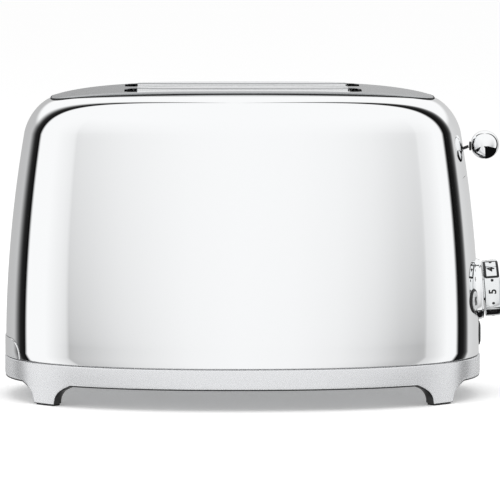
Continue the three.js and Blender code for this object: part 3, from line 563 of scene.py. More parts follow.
def side_inset(z):
    """How far the wall has drawn in at a height."""
    rise = max(0.0, (z - body["taper_start"]) / (body["shoulder"] - body["taper_start"]))
    return body["taper"] * rise ** body["taper_power"]


def corner_at(t):
    """Inset and height on the rounded edge of the top, a curve that t follows from 0 to 1."""
    weights = [(1 - t) ** 3, 3 * t * (1 - t) ** 2, 3 * t * t * (1 - t), t ** 3]
    across, up = (sum(w * share[k] for w, share in zip(weights, corner_share)) for k in (0, 1))
    return body["taper"] + across * body["corner_width"], body["shoulder"] + up * body["corner_height"]


def body_profile(grow, bottom):
    """Profile of the body's form, grown all round, from a height up to near the middle of the crown."""
    start, shoulder = body["taper_start"], body["shoulder"]
    rows = [(-grow, 1, bottom), (-grow, 1, (start + bottom) / 2)]
    for i in range(wall_steps):
        z = start + (shoulder - start) * (i / wall_steps)
        rows.append((side_inset(z) - grow, 1, z))
    for i in range(corner_steps + 1):
        inset, z = corner_at(i / corner_steps)
        rows.append((inset - grow, 1, z + grow * (z - shoulder) / body["corner_height"]))
    edge = rows[-1][0]
    for i in range(1, crown_steps + 1):
        share = 1 + (crown_centre - 1) * i / crown_steps
        rows.append((edge, share, body_top + grow + body["crown"] * (1 - share * share)))
    return rows


def lifted(mesh):
    """Raises the middle of the top by a smooth step over its upper edge."""
    for vertex in mesh.vertices:
        share = clamp((vertex.co.z - lift_low) / (lift_high - lift_low))
        vertex.co.z += lift_at(vertex.co.x) * share * share * (3 - 2 * share)
    mesh.update()
    return mesh


shell_sides, shell_edge, inner_rise = 288, 0.35, 1.6
outer_rows = body_profile(0, body["bottom"])
outer_rows[0:1] = [(shell_edge, 1, body["bottom"]), (0.1, 1, body["bottom"] + 0.1),
                   (0, 1, body["bottom"] + shell_edge)]
inner_rows = body_profile(-body["wall"], body["bottom"] + inner_rise)[::-1]
edge_rows = [(body["wall"], 1, body["bottom"] + shell_edge), (body["wall"] - shell_edge, 1, body["bottom"])]
whole_shell = lifted(swept(outer_rows + inner_rows + edge_rows + outer_rows[:1], shell_sides, chrome))
shell_surface = surface_of(whole_shell)
outer_surface = surface_of(lifted(swept(outer_rows, shell_sides, chrome)))


def on_end(y, z, side=1):
    """Point and normal of the outer surface at the right end, or at the left one for side -1."""
    spot, _, index, _ = outer_surface[0].ray_cast(Vector((far * side, y, z)), Vector((-side, 0, 0)))
    return spot, normal_at(outer_surface, spot, index)


def onto_end(mesh, side=1):
    """Lays a flat mesh on the body's end: its x and y become Y and Z, and its z the height."""
    lowest = body["bottom"] + 0.6
    for vertex in mesh.vertices:
        y, z, height = vertex.co
        spot, normal = on_end(y, max(z, lowest), side)
        vertex.co = Vector((spot.x, y, z)) + normal * height
    return outward(mesh)


# Openings: round the dial, its buttons and lights, and for the lever, the crumb tray and the panel

dial_z, dial_tilt, bezel_radius = 67.0, math.radians(4), 19.5
button_ring, button_radius, light_ring, light_radius = 28.2, 6.5, 22.3, 1.3
collar_radius = button_radius + turn + 0.8
slit_width, slit_height, slit_z, rim_reach = 6.6, 62.0, 135.0, 1.8
tray_half, tray_corner, tray_low, tray_high = 41.4, 11.8, 26.7, 38.8
panel_plan = dict(half_width=122.0, half_depth=49.7, power=3.0, end_drop=0.0)

# Heights that a cut through the top spans, distances that one through an end spans, and half a peg's length
cut_low, cut_high, end_near, end_far, peg_half = 150, 240, 60, 200, 12

# Angles of each button and of its light round the dial, in degrees from the rear upwards
controls = {"front": (190, 158), "bottom": (270, 237), "rear": (350, 22)}


def placed(spot, normal):
    """Matrix whose +X leaves a surface along a normal."""
    return Matrix.Translation(spot) @ Vector((1, 0, 0)).rotation_difference(normal).to_matrix().to_4x4()


def beside_dial(ring, angle):
    """Y and Z of a place at a distance and an angle round the dial."""
    angle = math.radians(angle)
    return ring * math.cos(angle), dial_z + ring * math.sin(angle)


def round_dial(ring, angle):
    """Matrix of a place on the body's end, at a distance and an angle round the dial."""
    return placed(*on_end(*beside_dial(ring, angle)))


dial_place = placed(on_end(0, dial_z)[0], Vector((math.cos(dial_tilt), 0, math.sin(dial_tilt))))
button_places = {name: round_dial(button_ring, angles[0]) for name, angles in controls.items()}
light_places = {name: round_dial(light_ring, angles[1]) for name, angles in controls.items()}


def pill(grow):
    """Outline of the lever's slit in Y and Z."""
    ring = rounded(slit_width + grow * 2, slit_height + grow * 2, slit_width / 2 + grow, 16)
    return [(y, z + slit_z) for y, z in ring]


def arch(grow, steps=14):
    """Outline of the crumb tray's handle in Y and Z."""
    half, corner, top = tray_half + grow, tray_corner + grow, tray_high + grow
    ring = [(-half, tray_low - grow), (half, tray_low - grow)]
    for side in (1, -1):
        for i in range(steps + 1):
            angle = math.pi / 2 * i / steps + (0 if side > 0 else math.pi / 2)
            y = side * (half - corner) + corner * math.cos(angle)
            ring.append((y, top - corner + corner * math.sin(angle)))
    return ring


def peg(radius, place, sides=96):
    """Closed rod along a place's X, long enough to cut through the shell."""
    return turned([(0, -peg_half), (radius, -peg_half), (radius, peg_half), (0, peg_half)], sides, place)


panel_hole = superellipse(panel_plan["half_width"] + seat, panel_plan["half_depth"] + seat,
                          panel_plan["power"], 240)
tray_door = prism(arch(seat), -end_far, -end_near, "X")
cutters = [prism(panel_hole, cut_low, cut_high), prism(pill(rim_reach + seat), end_near, end_far, "X"),
           peg(bezel_radius + seat, dial_place), tray_door]
cutters += [peg(collar_radius + seat, place, 64) for place in button_places.values()]
cutters += [peg(light_radius + seat, place, 32) for place in light_places.values()]
shell = combine(whole_shell, cutters)
shade_as(shell, shell_surface)
finished("shell_chromed", shell, chrome, "housing", "body_shell")


# Base ring and feet

foot_share, foot_half, foot_flare, foot_low, foot_top, foot_curve = 0.832, 8.6, 12.5, 1.1, 14.7, 2.6
base_proud, base_bottom, base_height, rib_height = 0.7, 13.9, 12.3, 16.1
outer_width, outer_depth = body["half_width"] + base_proud, body["half_depth"] + base_proud
base_sides, foot_steps = 1080, 12

# The lower edge comes down to the feet up to this height, and its rounding grows flatter there
dip_height, edge_loss, loss_rate = 2.7, 0.75, 3
foot_x = outer_width * foot_share
foot_y = outer_depth * (1 - foot_share ** body["power"]) ** (1 / body["power"])
foot_angle = math.atan2((foot_y / outer_depth) ** (body["power"] - 1) / outer_depth,
                        foot_share ** (body["power"] - 1) / outer_width)
foot_along = Vector((-math.sin(foot_angle), math.cos(foot_angle)))


def foot_dip(x, y):
    """How far the base's lower edge comes down at a place: 0 between the feet, 1 under them."""
    offset = abs((Vector((abs(x), abs(y))) - Vector((foot_x, foot_y))).dot(foot_along))
    return 1 - clamp((offset - foot_half) / foot_flare) ** (1 / foot_curve)


def base_sweep(rows, finish):
    """A profile of (inset, height in the base) swept round, with its lower edge brought down to the feet."""
    mesh = swept([(inset, 1, base_bottom + height) for inset, height in rows], base_sides, finish,
                 half_width=outer_width, half_depth=outer_depth, end_drop=0.0)
    for vertex in mesh.vertices:
        x, y, z = vertex.co
        if z < base_bottom + dip_height:
            dip = foot_dip(x, y)
            rounding = (z - base_bottom) * (1 - edge_loss * min(1.0, dip * loss_rate))
            vertex.co.z = base_bottom - (base_bottom - foot_low) * dip + rounding
    return mesh


# The casting is a wall 1 mm thick with a rounded lower edge. A black liner stands in it and comes out 0.75 mm
# under that edge as painted shade: a dark line where the shadow under the base falls
base_rows = [(0, 2.6), (0, 5), (0, base_height - 0.8), (0.06, base_height - 0.5),
             (0.26, base_height - 0.22), (0.6, base_height - 0.04), (0.8, base_height), (3.4, base_height),
             (3.4, rib_height), (5.8, rib_height), (5.8, base_height - 1), (5.7, 6), (1.0, 5.6), (1.0, 2.0),
             (0.95, 0.5), (0.8, 0.1), (0.6, 0), (0.35, 0.1), (0.15, 0.5), (0.04, 1.2), (0, 1.9), (0, 2.6)]
shade_liner_rows = [(1.15, 5.4), (1.15, -0.06), (0.45, -0.06), (0.35, -0.16), (0.35, -0.6), (0.5, -0.75),
              (5.0, -0.75), (5.4, -0.3), (5.5, 5.4), (1.15, 5.4)]

# The feet's own blocks, behind a skin of the base's wall, and the pads under them
block_depth, block_flare, block_front, block_power, block_skin, block_inset = 6, 2.4, 1.5, 3.2, 1.15, 0.12
pad_height, pad_inset = 0.8, 0.9


def foot_block(rows, inset, sides=64):
    """Flared block behind the base's face at the rear right corner, through (height, flare) rows."""
    rings = []
    for z, flare in rows:
        deep = block_depth + block_flare * flare
        back = deep - block_front
        ring = superellipse(deep - inset, foot_half + foot_flare * flare - inset, block_power, sides)
        rings.append([(foot_x + (u - back) * math.cos(foot_angle) - v * math.sin(foot_angle),
                       foot_y + (u - back) * math.sin(foot_angle) + v * math.cos(foot_angle), z)
                      for u, v in ring])
    plan = superellipse(outer_width - block_skin, outer_depth - block_skin, body["power"], 720)
    return combine(loft(rings), [prism(plan, -5, 40)], "INTERSECT")


def four_corners(mesh):
    """A mesh at the rear right corner and its mirror images, from there round by the rear left."""
    copies = []
    for x, y in [(1, 1), (-1, 1), (-1, -1), (1, -1)]:
        one = mesh.copy()
        one.transform(Matrix.Diagonal((x, y, 1, 1)))
        copies.append(outward(one))
    return copies


foot_rows = [(foot_low + (foot_top - foot_low) * i / foot_steps, (i / foot_steps) ** foot_curve)
             for i in range(foot_steps + 1)]
foot_edge = 0.35
foot_rows[0:1] = [(foot_low, -0.05), (foot_low + foot_edge, 0)]
base_mesh = combine(base_sweep(base_rows, cast), [tray_door])
finished("base_cast", base_mesh, cast, "housing", "base_frame", smooth=32)
feet = four_corners(foot_block(foot_rows, block_inset))
# The black liner's edge under the casting is painted shade; the feet's blocks are joined with it
finished("base_liner_black", joined([base_sweep(shade_liner_rows, black)] + feet), black, "housing", smooth=32)

pads = four_corners(foot_block([(0, 0), (pad_height, 0)], pad_inset))
for name, mesh in zip(("rear_right", "rear_left", "front_left", "front_right"), pads):
    finished("foot_pad_" + name + "_rubber", mesh, rubber, "housing", "foot_pad_" + name, smooth=30)


# Top panel with its rounded border, and the rolled lips of its two slots

panel_rise, panel_thickness, panel_sides, panel_steps = 3.0, 0.7, 320, 16

# How much of its rise the panel loses at its ends, how late, and how much of the lifted crown it takes back
end_loss, end_power, lift_loss = 0.85, 4, 1.1

# Inset and share of the rise, from the panel's edge to its flat middle
border = [(0, 0), (0.25, 0.19), (0.9, 0.5), (1.7, 0.69), (2.6, 0.82), (3.8, 0.905), (5.2, 0.96), (6.7, 0.988),
          (8.4, 1)]


def crown_height(x, y):
    """Height of the body's domed top over a place."""
    inset, n = body["taper"] + body["corner_width"], body["power"]
    half_width, half_depth = body["half_width"] - inset, body["half_depth"] - inset
    share = (abs(x / half_width) ** n + abs(y / half_depth) ** n) ** (1 / n)
    drop = body["end_drop"] * abs(x / body["reach"]) ** body["drop_power"]
    return body_top + body["crown"] * (1 - share * share) - drop + lift_at(x)


def panel_sweep(rows, finish):
    """A closed profile swept round the panel's plan and raised to the crown, lower at the pointed ends."""
    mesh = swept(rows, panel_sides, finish, **panel_plan)
    for vertex in mesh.vertices:
        x, y, height = vertex.co
        end = min(1.0, abs(x) / panel_plan["half_width"])
        share = 1 - end_loss * end ** end_power - lift_at(x) * lift_loss / panel_rise
        rise = height * share if height > 0 else height
        vertex.co.z = crown_height(x, y) + rise
    return outward(mesh)


panel_rows = [(inset, 1, panel_rise * rise) for inset, rise in border]
panel_rows += [(border[-1][0], 1 - i / panel_steps, panel_rise) for i in range(1, panel_steps + 1)]
under_rows = [(max(inset, seat), share, z - panel_thickness) for inset, share, z in reversed(panel_rows)]
panel_mesh = panel_sweep(panel_rows + under_rows + panel_rows[:1], brushed)
panel_surface = surface_of(panel_mesh)


def on_panel(x, y):
    """Height of the panel's upper face."""
    return panel_surface[0].ray_cast(Vector((x, y, far)), Vector((0, 0, -1)))[0].z


def slot_outline(grow):
    """Outline of a slot about its own middle."""
    return rounded(slot_length + grow * 2, slot_width + grow * 2, slot_corner + grow, 12)


# The panel is cut along each slot, and wider along its straight sides, where the rolled lips lie
mouth_length, mouth_spread, mouth_corner, panel_gap = 134.4, 6.2, 0.4, 0.05
mouth = rounded(mouth_length, slot_width + mouth_spread, mouth_corner, 3)
slot_cutters = [prism([(x, y + side * slot_y) for x, y in outline], cut_low, cut_high) for side in (-1, 1)
                for outline in (slot_outline(panel_gap), mouth)]
panel_mesh = combine(panel_mesh, slot_cutters)
shade_as(panel_mesh, panel_surface)
finished("top_panel_brushed", panel_mesh, brushed, "housing", "top_panel")

# The long edges roll down into the slots. At the ends the sheet is only cut, over a black liner that lies
# deeper behind the rolled edges
roll = [(3.2, 0.4), (3.2, 0.05), (3.05, -0.16), (2.8, -0.28), (2.45, -0.25), (2.1, -0.07), (1.7, 0.3),
        (1.35, 0.85), (1.0, 1.55), (0.7, 2.25), (0.42, 3.05), (0.2, 3.85), (0.05, 4.8), (0, 5.6), (0, 8.6),
        (0.12, 8.8), (0.7, 8.8), (0.8, 8.6), (0.8, 5.6), (1.05, 4.5), (1.5, 3.2), (2.0, 2.2), (2.6, 1.2)]
liner = [(0, 1.2), (0.7, 1.2), (0.7, 12.6), (0, 12.6)]
roll_half, roll_steps = slot_length / 2 - slot_corner, 30
liner_gap, liner_drop, drop_end, drop_reach = 0.12, 4.6, 69, 1.6
roll_lines, liner_lines = [], []
for side in (-1, 1):
    for edge in (-1, 1):
        y = side * slot_y + edge * slot_width / 2
        xs = [edge * roll_half * (1 - 2 * i / roll_steps) for i in range(roll_steps + 1)]
        roll_lines.append(([(x, y, on_panel(x, y)) for x in xs], False))
    line = []
    for x, y in dense([(x, y + side * slot_y) for x, y in slot_outline(liner_gap)], 5):
        line.append((x, y, on_panel(x, y) - liner_drop * clamp((drop_end - abs(x)) / drop_reach)))
    liner_lines.append((line, True))
finished("slot_lips_rolled", drawn(roll_lines, roll, lip_steel), lip_steel, "housing", "slot_frame_front",
         "slot_frame_rear", smooth=50)
finished("slot_liners_black", drawn(liner_lines, liner, enamel), enamel, "housing", smooth=50)
seal_rows = [(-0.2, 1, -0.6), (-0.2, 1, 0.75), (0, 1, 0.95), (0.6, 1, 0.95), (0.6, 1, -0.6), (-0.2, 1, -0.6)]
finished("panel_seal_rubber", panel_sweep(seal_rows, rubber), rubber, "housing", smooth=40)


# Lever: rim of its slit, bent arm, collar and ball

rim_profile = [(-0.9, 2.2), (-0.9, 0.3), (-0.7, 0.06), (-0.4, 0), (0.4, 0), (0.7, 0.06), (0.9, 0.3),
               (0.9, 2.2)]
rim_sunk = 1.25
rim_line = [(y, z, -rim_sunk) for y, z in dense(pill(rim_reach / 2), 4)]
rim = onto_end(drawn([(rim_line, True)], rim_profile, chrome))
finished("lever_slot_rim_chromed", rim, chrome, "housing", "lever_rim", smooth=40)

arm_line = [(92.2, 155.2), (137.6, 155.2), (138.5, 155.3), (139.3, 155.65), (144.3, 157.6)]
arm_section = [(-1.75, 0), (1.75, 0), (2, 0.25), (2, 1.35), (1.75, 1.6), (-1.75, 1.6), (-2, 1.35),
               (-2, 0.25)]
arm_thick, bend_x, bend_lean = 1.6, 138, 0.35
arm_rings = []
for x, z in arm_line:
    lean = bend_lean if x > bend_x else 0
    arm_rings.append([(x - lean * (v / arm_thick), u, z + v) for u, v in arm_section])
finished("lever_arm_bent", loft(arm_rings), black, "carriage", "lever_arm", smooth=25)

ball_x, ball_z, ball_radius, flat_in, collar_z = body["half_width"] + 3.5, 159.4, 9.1, 4.9, 158.6
ball_steps = 48
flat_x = body["half_width"] - flat_in - ball_x
start_angle = math.acos(-flat_x / ball_radius)
ball_profile = [(0, flat_x), (ball_radius * math.sin(start_angle) - 0.25, flat_x)]
for i in range(1, ball_steps):
    angle = start_angle + (math.pi - start_angle) * i / ball_steps
    ball_profile.append((ball_radius * math.sin(angle), -ball_radius * math.cos(angle)))
ball_profile.append((0, ball_radius))
finished("lever_ball_chromed", turned(ball_profile, 96, Matrix.Translation((ball_x, 0, ball_z))), chrome,
         "carriage", "lever_ball", smooth=40)
collar_profile = [(0, 144.6), (2.6, 144.6), (2.9, 144.85), (2.9, 145.55), (2.65, 145.8), (0, 145.8)]
finished("lever_collar_black", turned(collar_profile, 48, Matrix.Translation((0, 0, collar_z))), black,
         "carriage", "lever_collar", smooth=30)


# Browning dial: grooved bezel, drum with a grip, and printed marks that turn with it

bezel_profile = [(10, -3.2), (bezel_radius, -3.2), (bezel_radius, 1.15), (19.35, 1.42), (19.0, 1.5),
                 (18.75, 1.58), (18.75, 1.76), (18.95, 1.84), (19.1, 2.0), (19.1, 2.35), (18.9, 2.7),
                 (18.5, 2.88), (18.1, 2.9), (15.6, 2.9), (15.3, 2.6), (10, 2.6), (10, -3.2)]
bezel = turned(bezel_profile, 160, dial_place)
finished("dial_bezel_chromed", bezel, chrome, "housing", "dial_bezel", smooth=35)

drum_radius, drum_middle, ink_height = 17.9, 8.9, 0.05
drum_profile = [(3.3, 0.6), (8, 0.6), (8, 4), (17.5, 4), (17.8, 4.12), (drum_radius, 4.4),
                (drum_radius, 12.7), (17.78, 13.2), (17.4, 13.6), (16.8, 13.85), (16.1, 13.9), (14.8, 13.9),
                (14.5, 13.6), (0, 13.6), (0, 12), (3.3, 12), (3.3, 0.6)]
grip_length, grip_width, grip_corner = 29, 6.4, 3.1
grip_rings = []
for height, grow in [(13.0, 0), (15.0, 0), (15.3, -0.08), (15.52, -0.28), (15.66, -0.6), (15.7, -1.0)]:
    ring = rounded(grip_length + grow * 2, grip_width + grow * 2, grip_corner + grow)
    grip_rings.append([(height, u, v) for u, v in ring])
grip = loft(grip_rings)
grip.transform(dial_place)
drum = joined([turned(drum_profile, 160, dial_place), grip])
finished("dial_drum_satin_chromed", drum, dial_chrome, "dial", "dial_knob", smooth=35)


def on_drum(mesh, angle):
    """Wraps a flat mesh on the drum at an angle above the front, its y towards the body and its x up."""
    for vertex in mesh.vertices:
        u, v, height = vertex.co
        around = math.radians(angle) + u / drum_radius
        out = drum_radius + height
        vertex.co = dial_place @ Vector((drum_middle - v, -out * math.cos(around), out * math.sin(around)))
    return outward(mesh)


def numeral(text, size=6.6, bolder=0.2, strip=0.4, cuts=7):
    """A printed numeral, cut into strips so that it can be wrapped."""
    words = bpy.data.curves.new("numeral", "FONT")
    words.body, words.size, words.extrude, words.offset = text, size, ink_height, bolder
    words.align_x, words.align_y = "CENTER", "CENTER"
    mesh = plain(new_object("numeral", words))
    work = bmesh.new()
    work.from_mesh(mesh)
    for i in range(-cuts, cuts + 1):
        everything = work.verts[:] + work.edges[:] + work.faces[:]
        bmesh.ops.bisect_plane(work, geom=everything, plane_co=(i * strip, 0, 0), plane_no=(1, 0, 0))
    work.to_mesh(mesh)
    work.free()
    return mesh


def strokes(lines, width, finish):
    """Printed lines of a width, a little over the surface."""
    half = width / 2
    section = [(-half, -ink_height), (half, -ink_height), (half, ink_height), (-half, ink_height)]
    return drawn(lines, section, finish)


def disc(radius):
    """A printed dot."""
    return prism(circle(radius, 32), -ink_height, ink_height)


# The numbers 1 to 6 with a dot after each, and a frame round the one that faces the front
number_step, number_angle, dot_angle, front_number, dot_radius = 49, 47, 21.5, 4, 0.95
frame_angle, frame_length, frame_width, frame_corner, frame_stroke = 52, 14.6, 8.0, 0.5, 1.5
marks = []
for number in range(1, 7):
    around = (front_number - number) * number_step
    marks.append(on_drum(numeral(str(number)), number_angle + around))
    marks.append(on_drum(disc(dot_radius), dot_angle + around))
frame_line = dense(rounded(frame_length, frame_width, frame_corner, 6), 0.8)
marks.append(on_drum(strokes([(frame_line, True)], frame_stroke, ink), frame_angle))
finished("dial_marks_printed", joined(marks), ink, "dial")


# Buttons with printed signs, their collars, and the lights beside them

cap_profile = [(0, -12), (1.4, -12), (1.4, -3.5), (5.9, -3.5), (6.15, -3.2), (6.15, 0.75), (6.07, 1.0),
               (5.9, 1.18), (5.6, 1.27), (5.1, 1.28), (4.4, 1.2), (3.0, 1.12), (1.5, 1.08), (0, 1.07)]
collar_profile = [(6.3, -4), (7.65, -4), (7.65, 0.15), (7.55, 0.5), (7.3, 0.72), (6.9, 0.8), (6.5, 0.7),
                  (6.3, 0.4), (6.3, -4)]
lens_profile = [(0, -5), (1.3, -5), (1.3, 0.0), (1.22, 0.08), (1.0, 0.13), (0.6, 0.15), (0, 0.15)]
sign_stroke, sign_height = 0.85, 1.16


def on_face(mesh, place, height):
    """Stands a flat mesh on a place's axis at a height, with its x towards the rear and its y up."""
    for vertex in mesh.vertices:
        u, v, w = vertex.co
        vertex.co = place @ Vector((height + w, u, v))
    return outward(mesh)


def wave(middle, half=2.7, swing=0.55, steps=18):
    """A rising wavy line, as a sign for heat."""
    shares = [i / steps for i in range(steps + 1)]
    return [(middle + swing * math.sin(share * math.tau * 1.25), half * (2 * share - 1)) for share in shares]


def arc(radius, start, end, steps=20):
    """Points on an arc from one angle to another, in degrees."""
    angles = [math.radians(start + (end - start) * i / steps) for i in range(steps + 1)]
    return [(radius * math.cos(angle), radius * math.sin(angle)) for angle in angles]


rays = [([(1.1 * c, 1.1 * s), (2.9 * c, 2.9 * s)], False) for c, s in circle(1, 6)]
signs = {
    "front": [(wave(x), False) for x in (-1.7, 0, 1.7)],
    "bottom": [(arc(2.6, 0, 350), False), (arc(1.0, 0, 350), False)],
    "rear": rays + [(arc(1.1, 0, 350), False)],
}
for name, place in button_places.items():
    button = name + "_button"
    cap = turned(cap_profile, 96, place)
    finished("button_" + name + "_cap", cap, pale, button, "button_" + name, smooth=30)
    sign = on_face(strokes(signs[name], sign_stroke, ink), place, sign_height)
    finished("button_" + name + "_sign", sign, ink, button)
    finished("button_" + name + "_collar", turned(collar_profile, 96, place), black, "housing",
             "button_collar_" + name, smooth=35)
for name, place in light_places.items():
    finished("light_" + name + "_lens", turned(lens_profile, 48, place), lens_finish, "housing",
             "indicator_" + name, smooth=40)

# Signs printed on the shell beside the lights: a lamp dot under a short bow
printed = []
sign_ring = button_ring * 0.83
for angle in (141, 252, 39):
    y, z = beside_dial(sign_ring, angle)
    bow = strokes([([(u, v - 0.9) for u, v in arc(2.1, 35, 145)], False)], 0.6, ink)
    for part, rise in ((bow, 0.6), (disc(0.75), -1.1)):
        part.transform(Matrix.Translation((y, z + rise, 0)))
        printed.append(onto_end(part))
finished("shell_signs_printed", joined(printed), ink, "housing")


# Crumb tray handle: an arched block with a fine chamfer, its faces divided so that they follow the left end

handle_z, handle_shares = 32, (0.93, 0.8, 0.62, 0.42, 0.22, 0.06)
handle_rings = []
for grow, height in [(-0.2, -5.0), (0, -4.8), (0, 0.1), (-0.12, 0.38), (-0.35, 0.55), (-0.65, 0.6)]:
    handle_rings.append([(y, z, height) for y, z in dense(arch(grow), 2.5, arch(0))])


def drawn_in(ring):
    """Smaller and smaller copies of a ring towards the handle's middle."""
    return [[(y * share, handle_z + (z - handle_z) * share, height) for y, z, height in ring]
            for share in handle_shares]


handle = onto_end(loft(drawn_in(handle_rings[0])[::-1] + handle_rings + drawn_in(handle_rings[-1])), -1)
shade_as(handle, shell_surface, reach=0.8)
finished("tray_handle_polished", handle, chrome, "tray", "tray_handle")


# Inside: wire guides, windings of the heaters, and the screws and gland under the base

wire_radius, wire_sides, face_offset = 0.8, 10, 15.2
guide_half, guide_low, guide_middle, guide_high = 83.0, 52.0, 111.0, 170.0
bar_count, bar_margin, bar_short = 13, 1, 0.1
tab_root, tab_reach, tab_low, tab_high, tab_places = 81.8, 87.8, 0.8, 5.2, (54.0, 162.0)
for row, side in (("front", -1), ("rear", 1)):
    for face, order in (("outer", side), ("inner", -side)):
        y = side * slot_y + order * face_offset
        lines = [[(-guide_half, y, z), (guide_half, y, z)]
                 for z in (guide_low + wire_radius, guide_middle, guide_high - wire_radius)]
        for i in range(bar_count):
            x = (guide_half - bar_margin) * (2 * i / (bar_count - 1) - 1)
            lines.append([(x, y, guide_low + bar_short), (x, y, guide_high - bar_short)])
        for low in tab_places:
            tab = [(tab_root, low + tab_low), (tab_reach, low + tab_low), (tab_reach, low + tab_high),
                   (tab_root, low + tab_high)]
            lines += [[(end * x, y, z) for x, z in tab] for end in (-1, 1)]
        mesh = drawn([(line, False) for line in lines], circle(wire_radius, wire_sides), plated)
        finished("guide_" + row + "_" + face + "_wires", mesh, plated, "guide_" + row + "_" + face,
                 "bread_guide_" + row + "_" + face, smooth=40)

# A ribbon wound up each heater board, over one face and back over the other
turn_count, turn_pitch, first_turn, half_board, face_gap = 15, 7.8, 58, 79, 0.95
one_turn = [(-half_board, -1, 0), (half_board, -1, 0), (half_board + 1.2, 0, 1.9), (half_board, 1, 3.9),
            (-half_board, 1, 3.9), (-half_board - 1.2, 0, 5.8)]
winding_lines = []
for y in (-45.0, 0.0, 45.0):
    line = [(x, y + off * face_gap, first_turn + i * turn_pitch + rise)
            for i in range(turn_count) for x, off, rise in one_turn]
    winding_lines.append((line, False))
ribbon = [(-0.12, -0.6), (0.12, -0.6), (0.12, 0.6), (-0.12, 0.6)]
finished("heater_windings", drawn(winding_lines, ribbon, nichrome), nichrome, "housing", smooth=30)

cover_low = 15.0
screw_profile = [(0, 0.9), (2.2, 0.9), (2.75, 0.72), (3.0, 0.42), (3.0, 0), (1.4, 0), (1.4, -1.6), (0, -1.6)]
screw = turned(screw_profile, 24, Matrix.Rotation(math.radians(90), 4, "Y"))
cross = [prism(rounded(wide, deep, 0.1, 2), -2, -0.35) for wide, deep in ((2.6, 0.6), (0.6, 2.6))]
screw = combine(screw, cross)
spots = [(x, y, cover_low) for x in (-112, -38, 38, 112) for y in (-52, 52)]
spots += [(x, 0, cover_low) for x in (-128, 128)]
finished("cover_screws", copied(screw, spots, zinc), zinc, "housing", smooth=30)

gland_profile = [(3.4, 0.25), (3.65, 0), (7.9, 0), (8.3, 0.15), (8.5, 0.5), (8.5, 1.8), (8.2, 2.2),
                 (5.7, 2.2), (5.7, 2.7), (5.2, 2.9), (5.2, 3.3), (5.7, 3.5), (5.7, 4.7), (5.4, 5), (3.4, 5),
                 (3.4, 0.25)]
gland_x, gland_y, flange = -60, 68, 2.2
gland_spot = Matrix.Translation((gland_x, gland_y, cover_low - seat - flange))
gland = turned(gland_profile, 64, gland_spot @ Matrix.Rotation(math.radians(-90), 4, "Y"))
finished("cord_gland_bush", gland, black, "housing", "cord_gland", smooth=35)

# Finishes of the solids that stay in sight
kept = {
    zinc: ["bottom_cover", "carriage_bracket", "bread_rest_front", "bread_rest_rear", "crumb_tray",
           "board_bracket_front", "board_bracket_rear"],
    shield_sheet: ["chassis_plate_left", "chassis_plate_right", "heat_shield_front", "heat_shield_rear"],
    mica: ["heater_board_front", "heater_board_centre", "heater_board_rear"],
    plated: ["guide_rod_front", "guide_rod_rear", "latch_plate", "carriage_spring", "dial_shaft"],
    copper: ["latch_magnet"],
    black: ["potentiometer"],
    board_green: ["control_board"],
}
for material, names in kept.items():
    for name in names:
        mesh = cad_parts[name].data
        mesh.materials.clear()
        mesh.materials.append(material)


# Studio, in metres: white floor and room, soft light, and the dark flags that a mirror finish needs beside it

white, floor_half, object_middle = (1, 1, 1, 1), 14, (0, 0, 0.08)


def ring_of_cards(tree, share, left, right):
    """Grey levels round the room to each side, as (share of the way from the front to the back, level)."""
    ramp = add(tree, "ShaderNodeValToRGB", {"Fac": share})
    stops = [(0.5 - place / 2, level) for place, level in reversed(left[1:])]
    stops += [(0.5 + place / 2, level) for place, level in right]
    for index, (place, level) in enumerate(stops):
        stop = ramp.color_ramp.elements[index] if index < 2 else ramp.color_ramp.elements.new(place)
        stop.position = place
        stop.color = colour("#" + ("%02x" % level) * 3)
    return ramp.outputs[0]


def card(name, corners, height, upper):
    """A level card that only mirror surfaces see, and only from above."""
    finish, tree = blank(name + "_paper")
    under = add(tree, "ShaderNodeNewGeometry").outputs["Backfacing"]
    glow = add(tree, "ShaderNodeEmission", {"Color": colour(upper), "Strength": 1.0}).outputs[0]
    clear = add(tree, "ShaderNodeBsdfTransparent").outputs[0]
    sides = add(tree, "ShaderNodeMixShader", {0: under, 1: glow, 2: clear}).outputs[0]
    add(tree, "ShaderNodeOutputMaterial", {"Surface": sides})
    sheet = new_object(name, mesh_of([(x, y, height) for x, y in corners], [tuple(range(len(corners)))]))
    sheet.data.materials.append(finish)
    sheet.visible_camera = sheet.visible_diffuse = sheet.visible_shadow = sheet.visible_transmission = False


def floor():
    """White paper that glows a little for the camera alone, so that it shows white and keeps the shadow."""
    finish, tree = blank("floor_white_paper")
    paper = add(tree, "ShaderNodeBsdfDiffuse", {"Color": colour("#f0f0f0")}).outputs[0]
    glow = add(tree, "ShaderNodeEmission", {"Color": white, "Strength": 0.28}).outputs[0]
    both = add(tree, "ShaderNodeAddShader", {0: paper, 1: glow}).outputs[0]
    seen = add(tree, "ShaderNodeLightPath").outputs["Is Camera Ray"]
    mixed = add(tree, "ShaderNodeMixShader", {0: seen, 1: paper, 2: both}).outputs[0]
    add(tree, "ShaderNodeOutputMaterial", {"Surface": mixed})
    corners = [(floor_half * x, floor_half * y, 0) for x, y in ((-1, -1), (1, -1), (1, 1), (-1, 1))]
    sheet = new_object("floor", mesh_of(corners, [(0, 1, 2, 3)]))
    sheet.data.materials.append(finish)
    sheet.visible_glossy = False


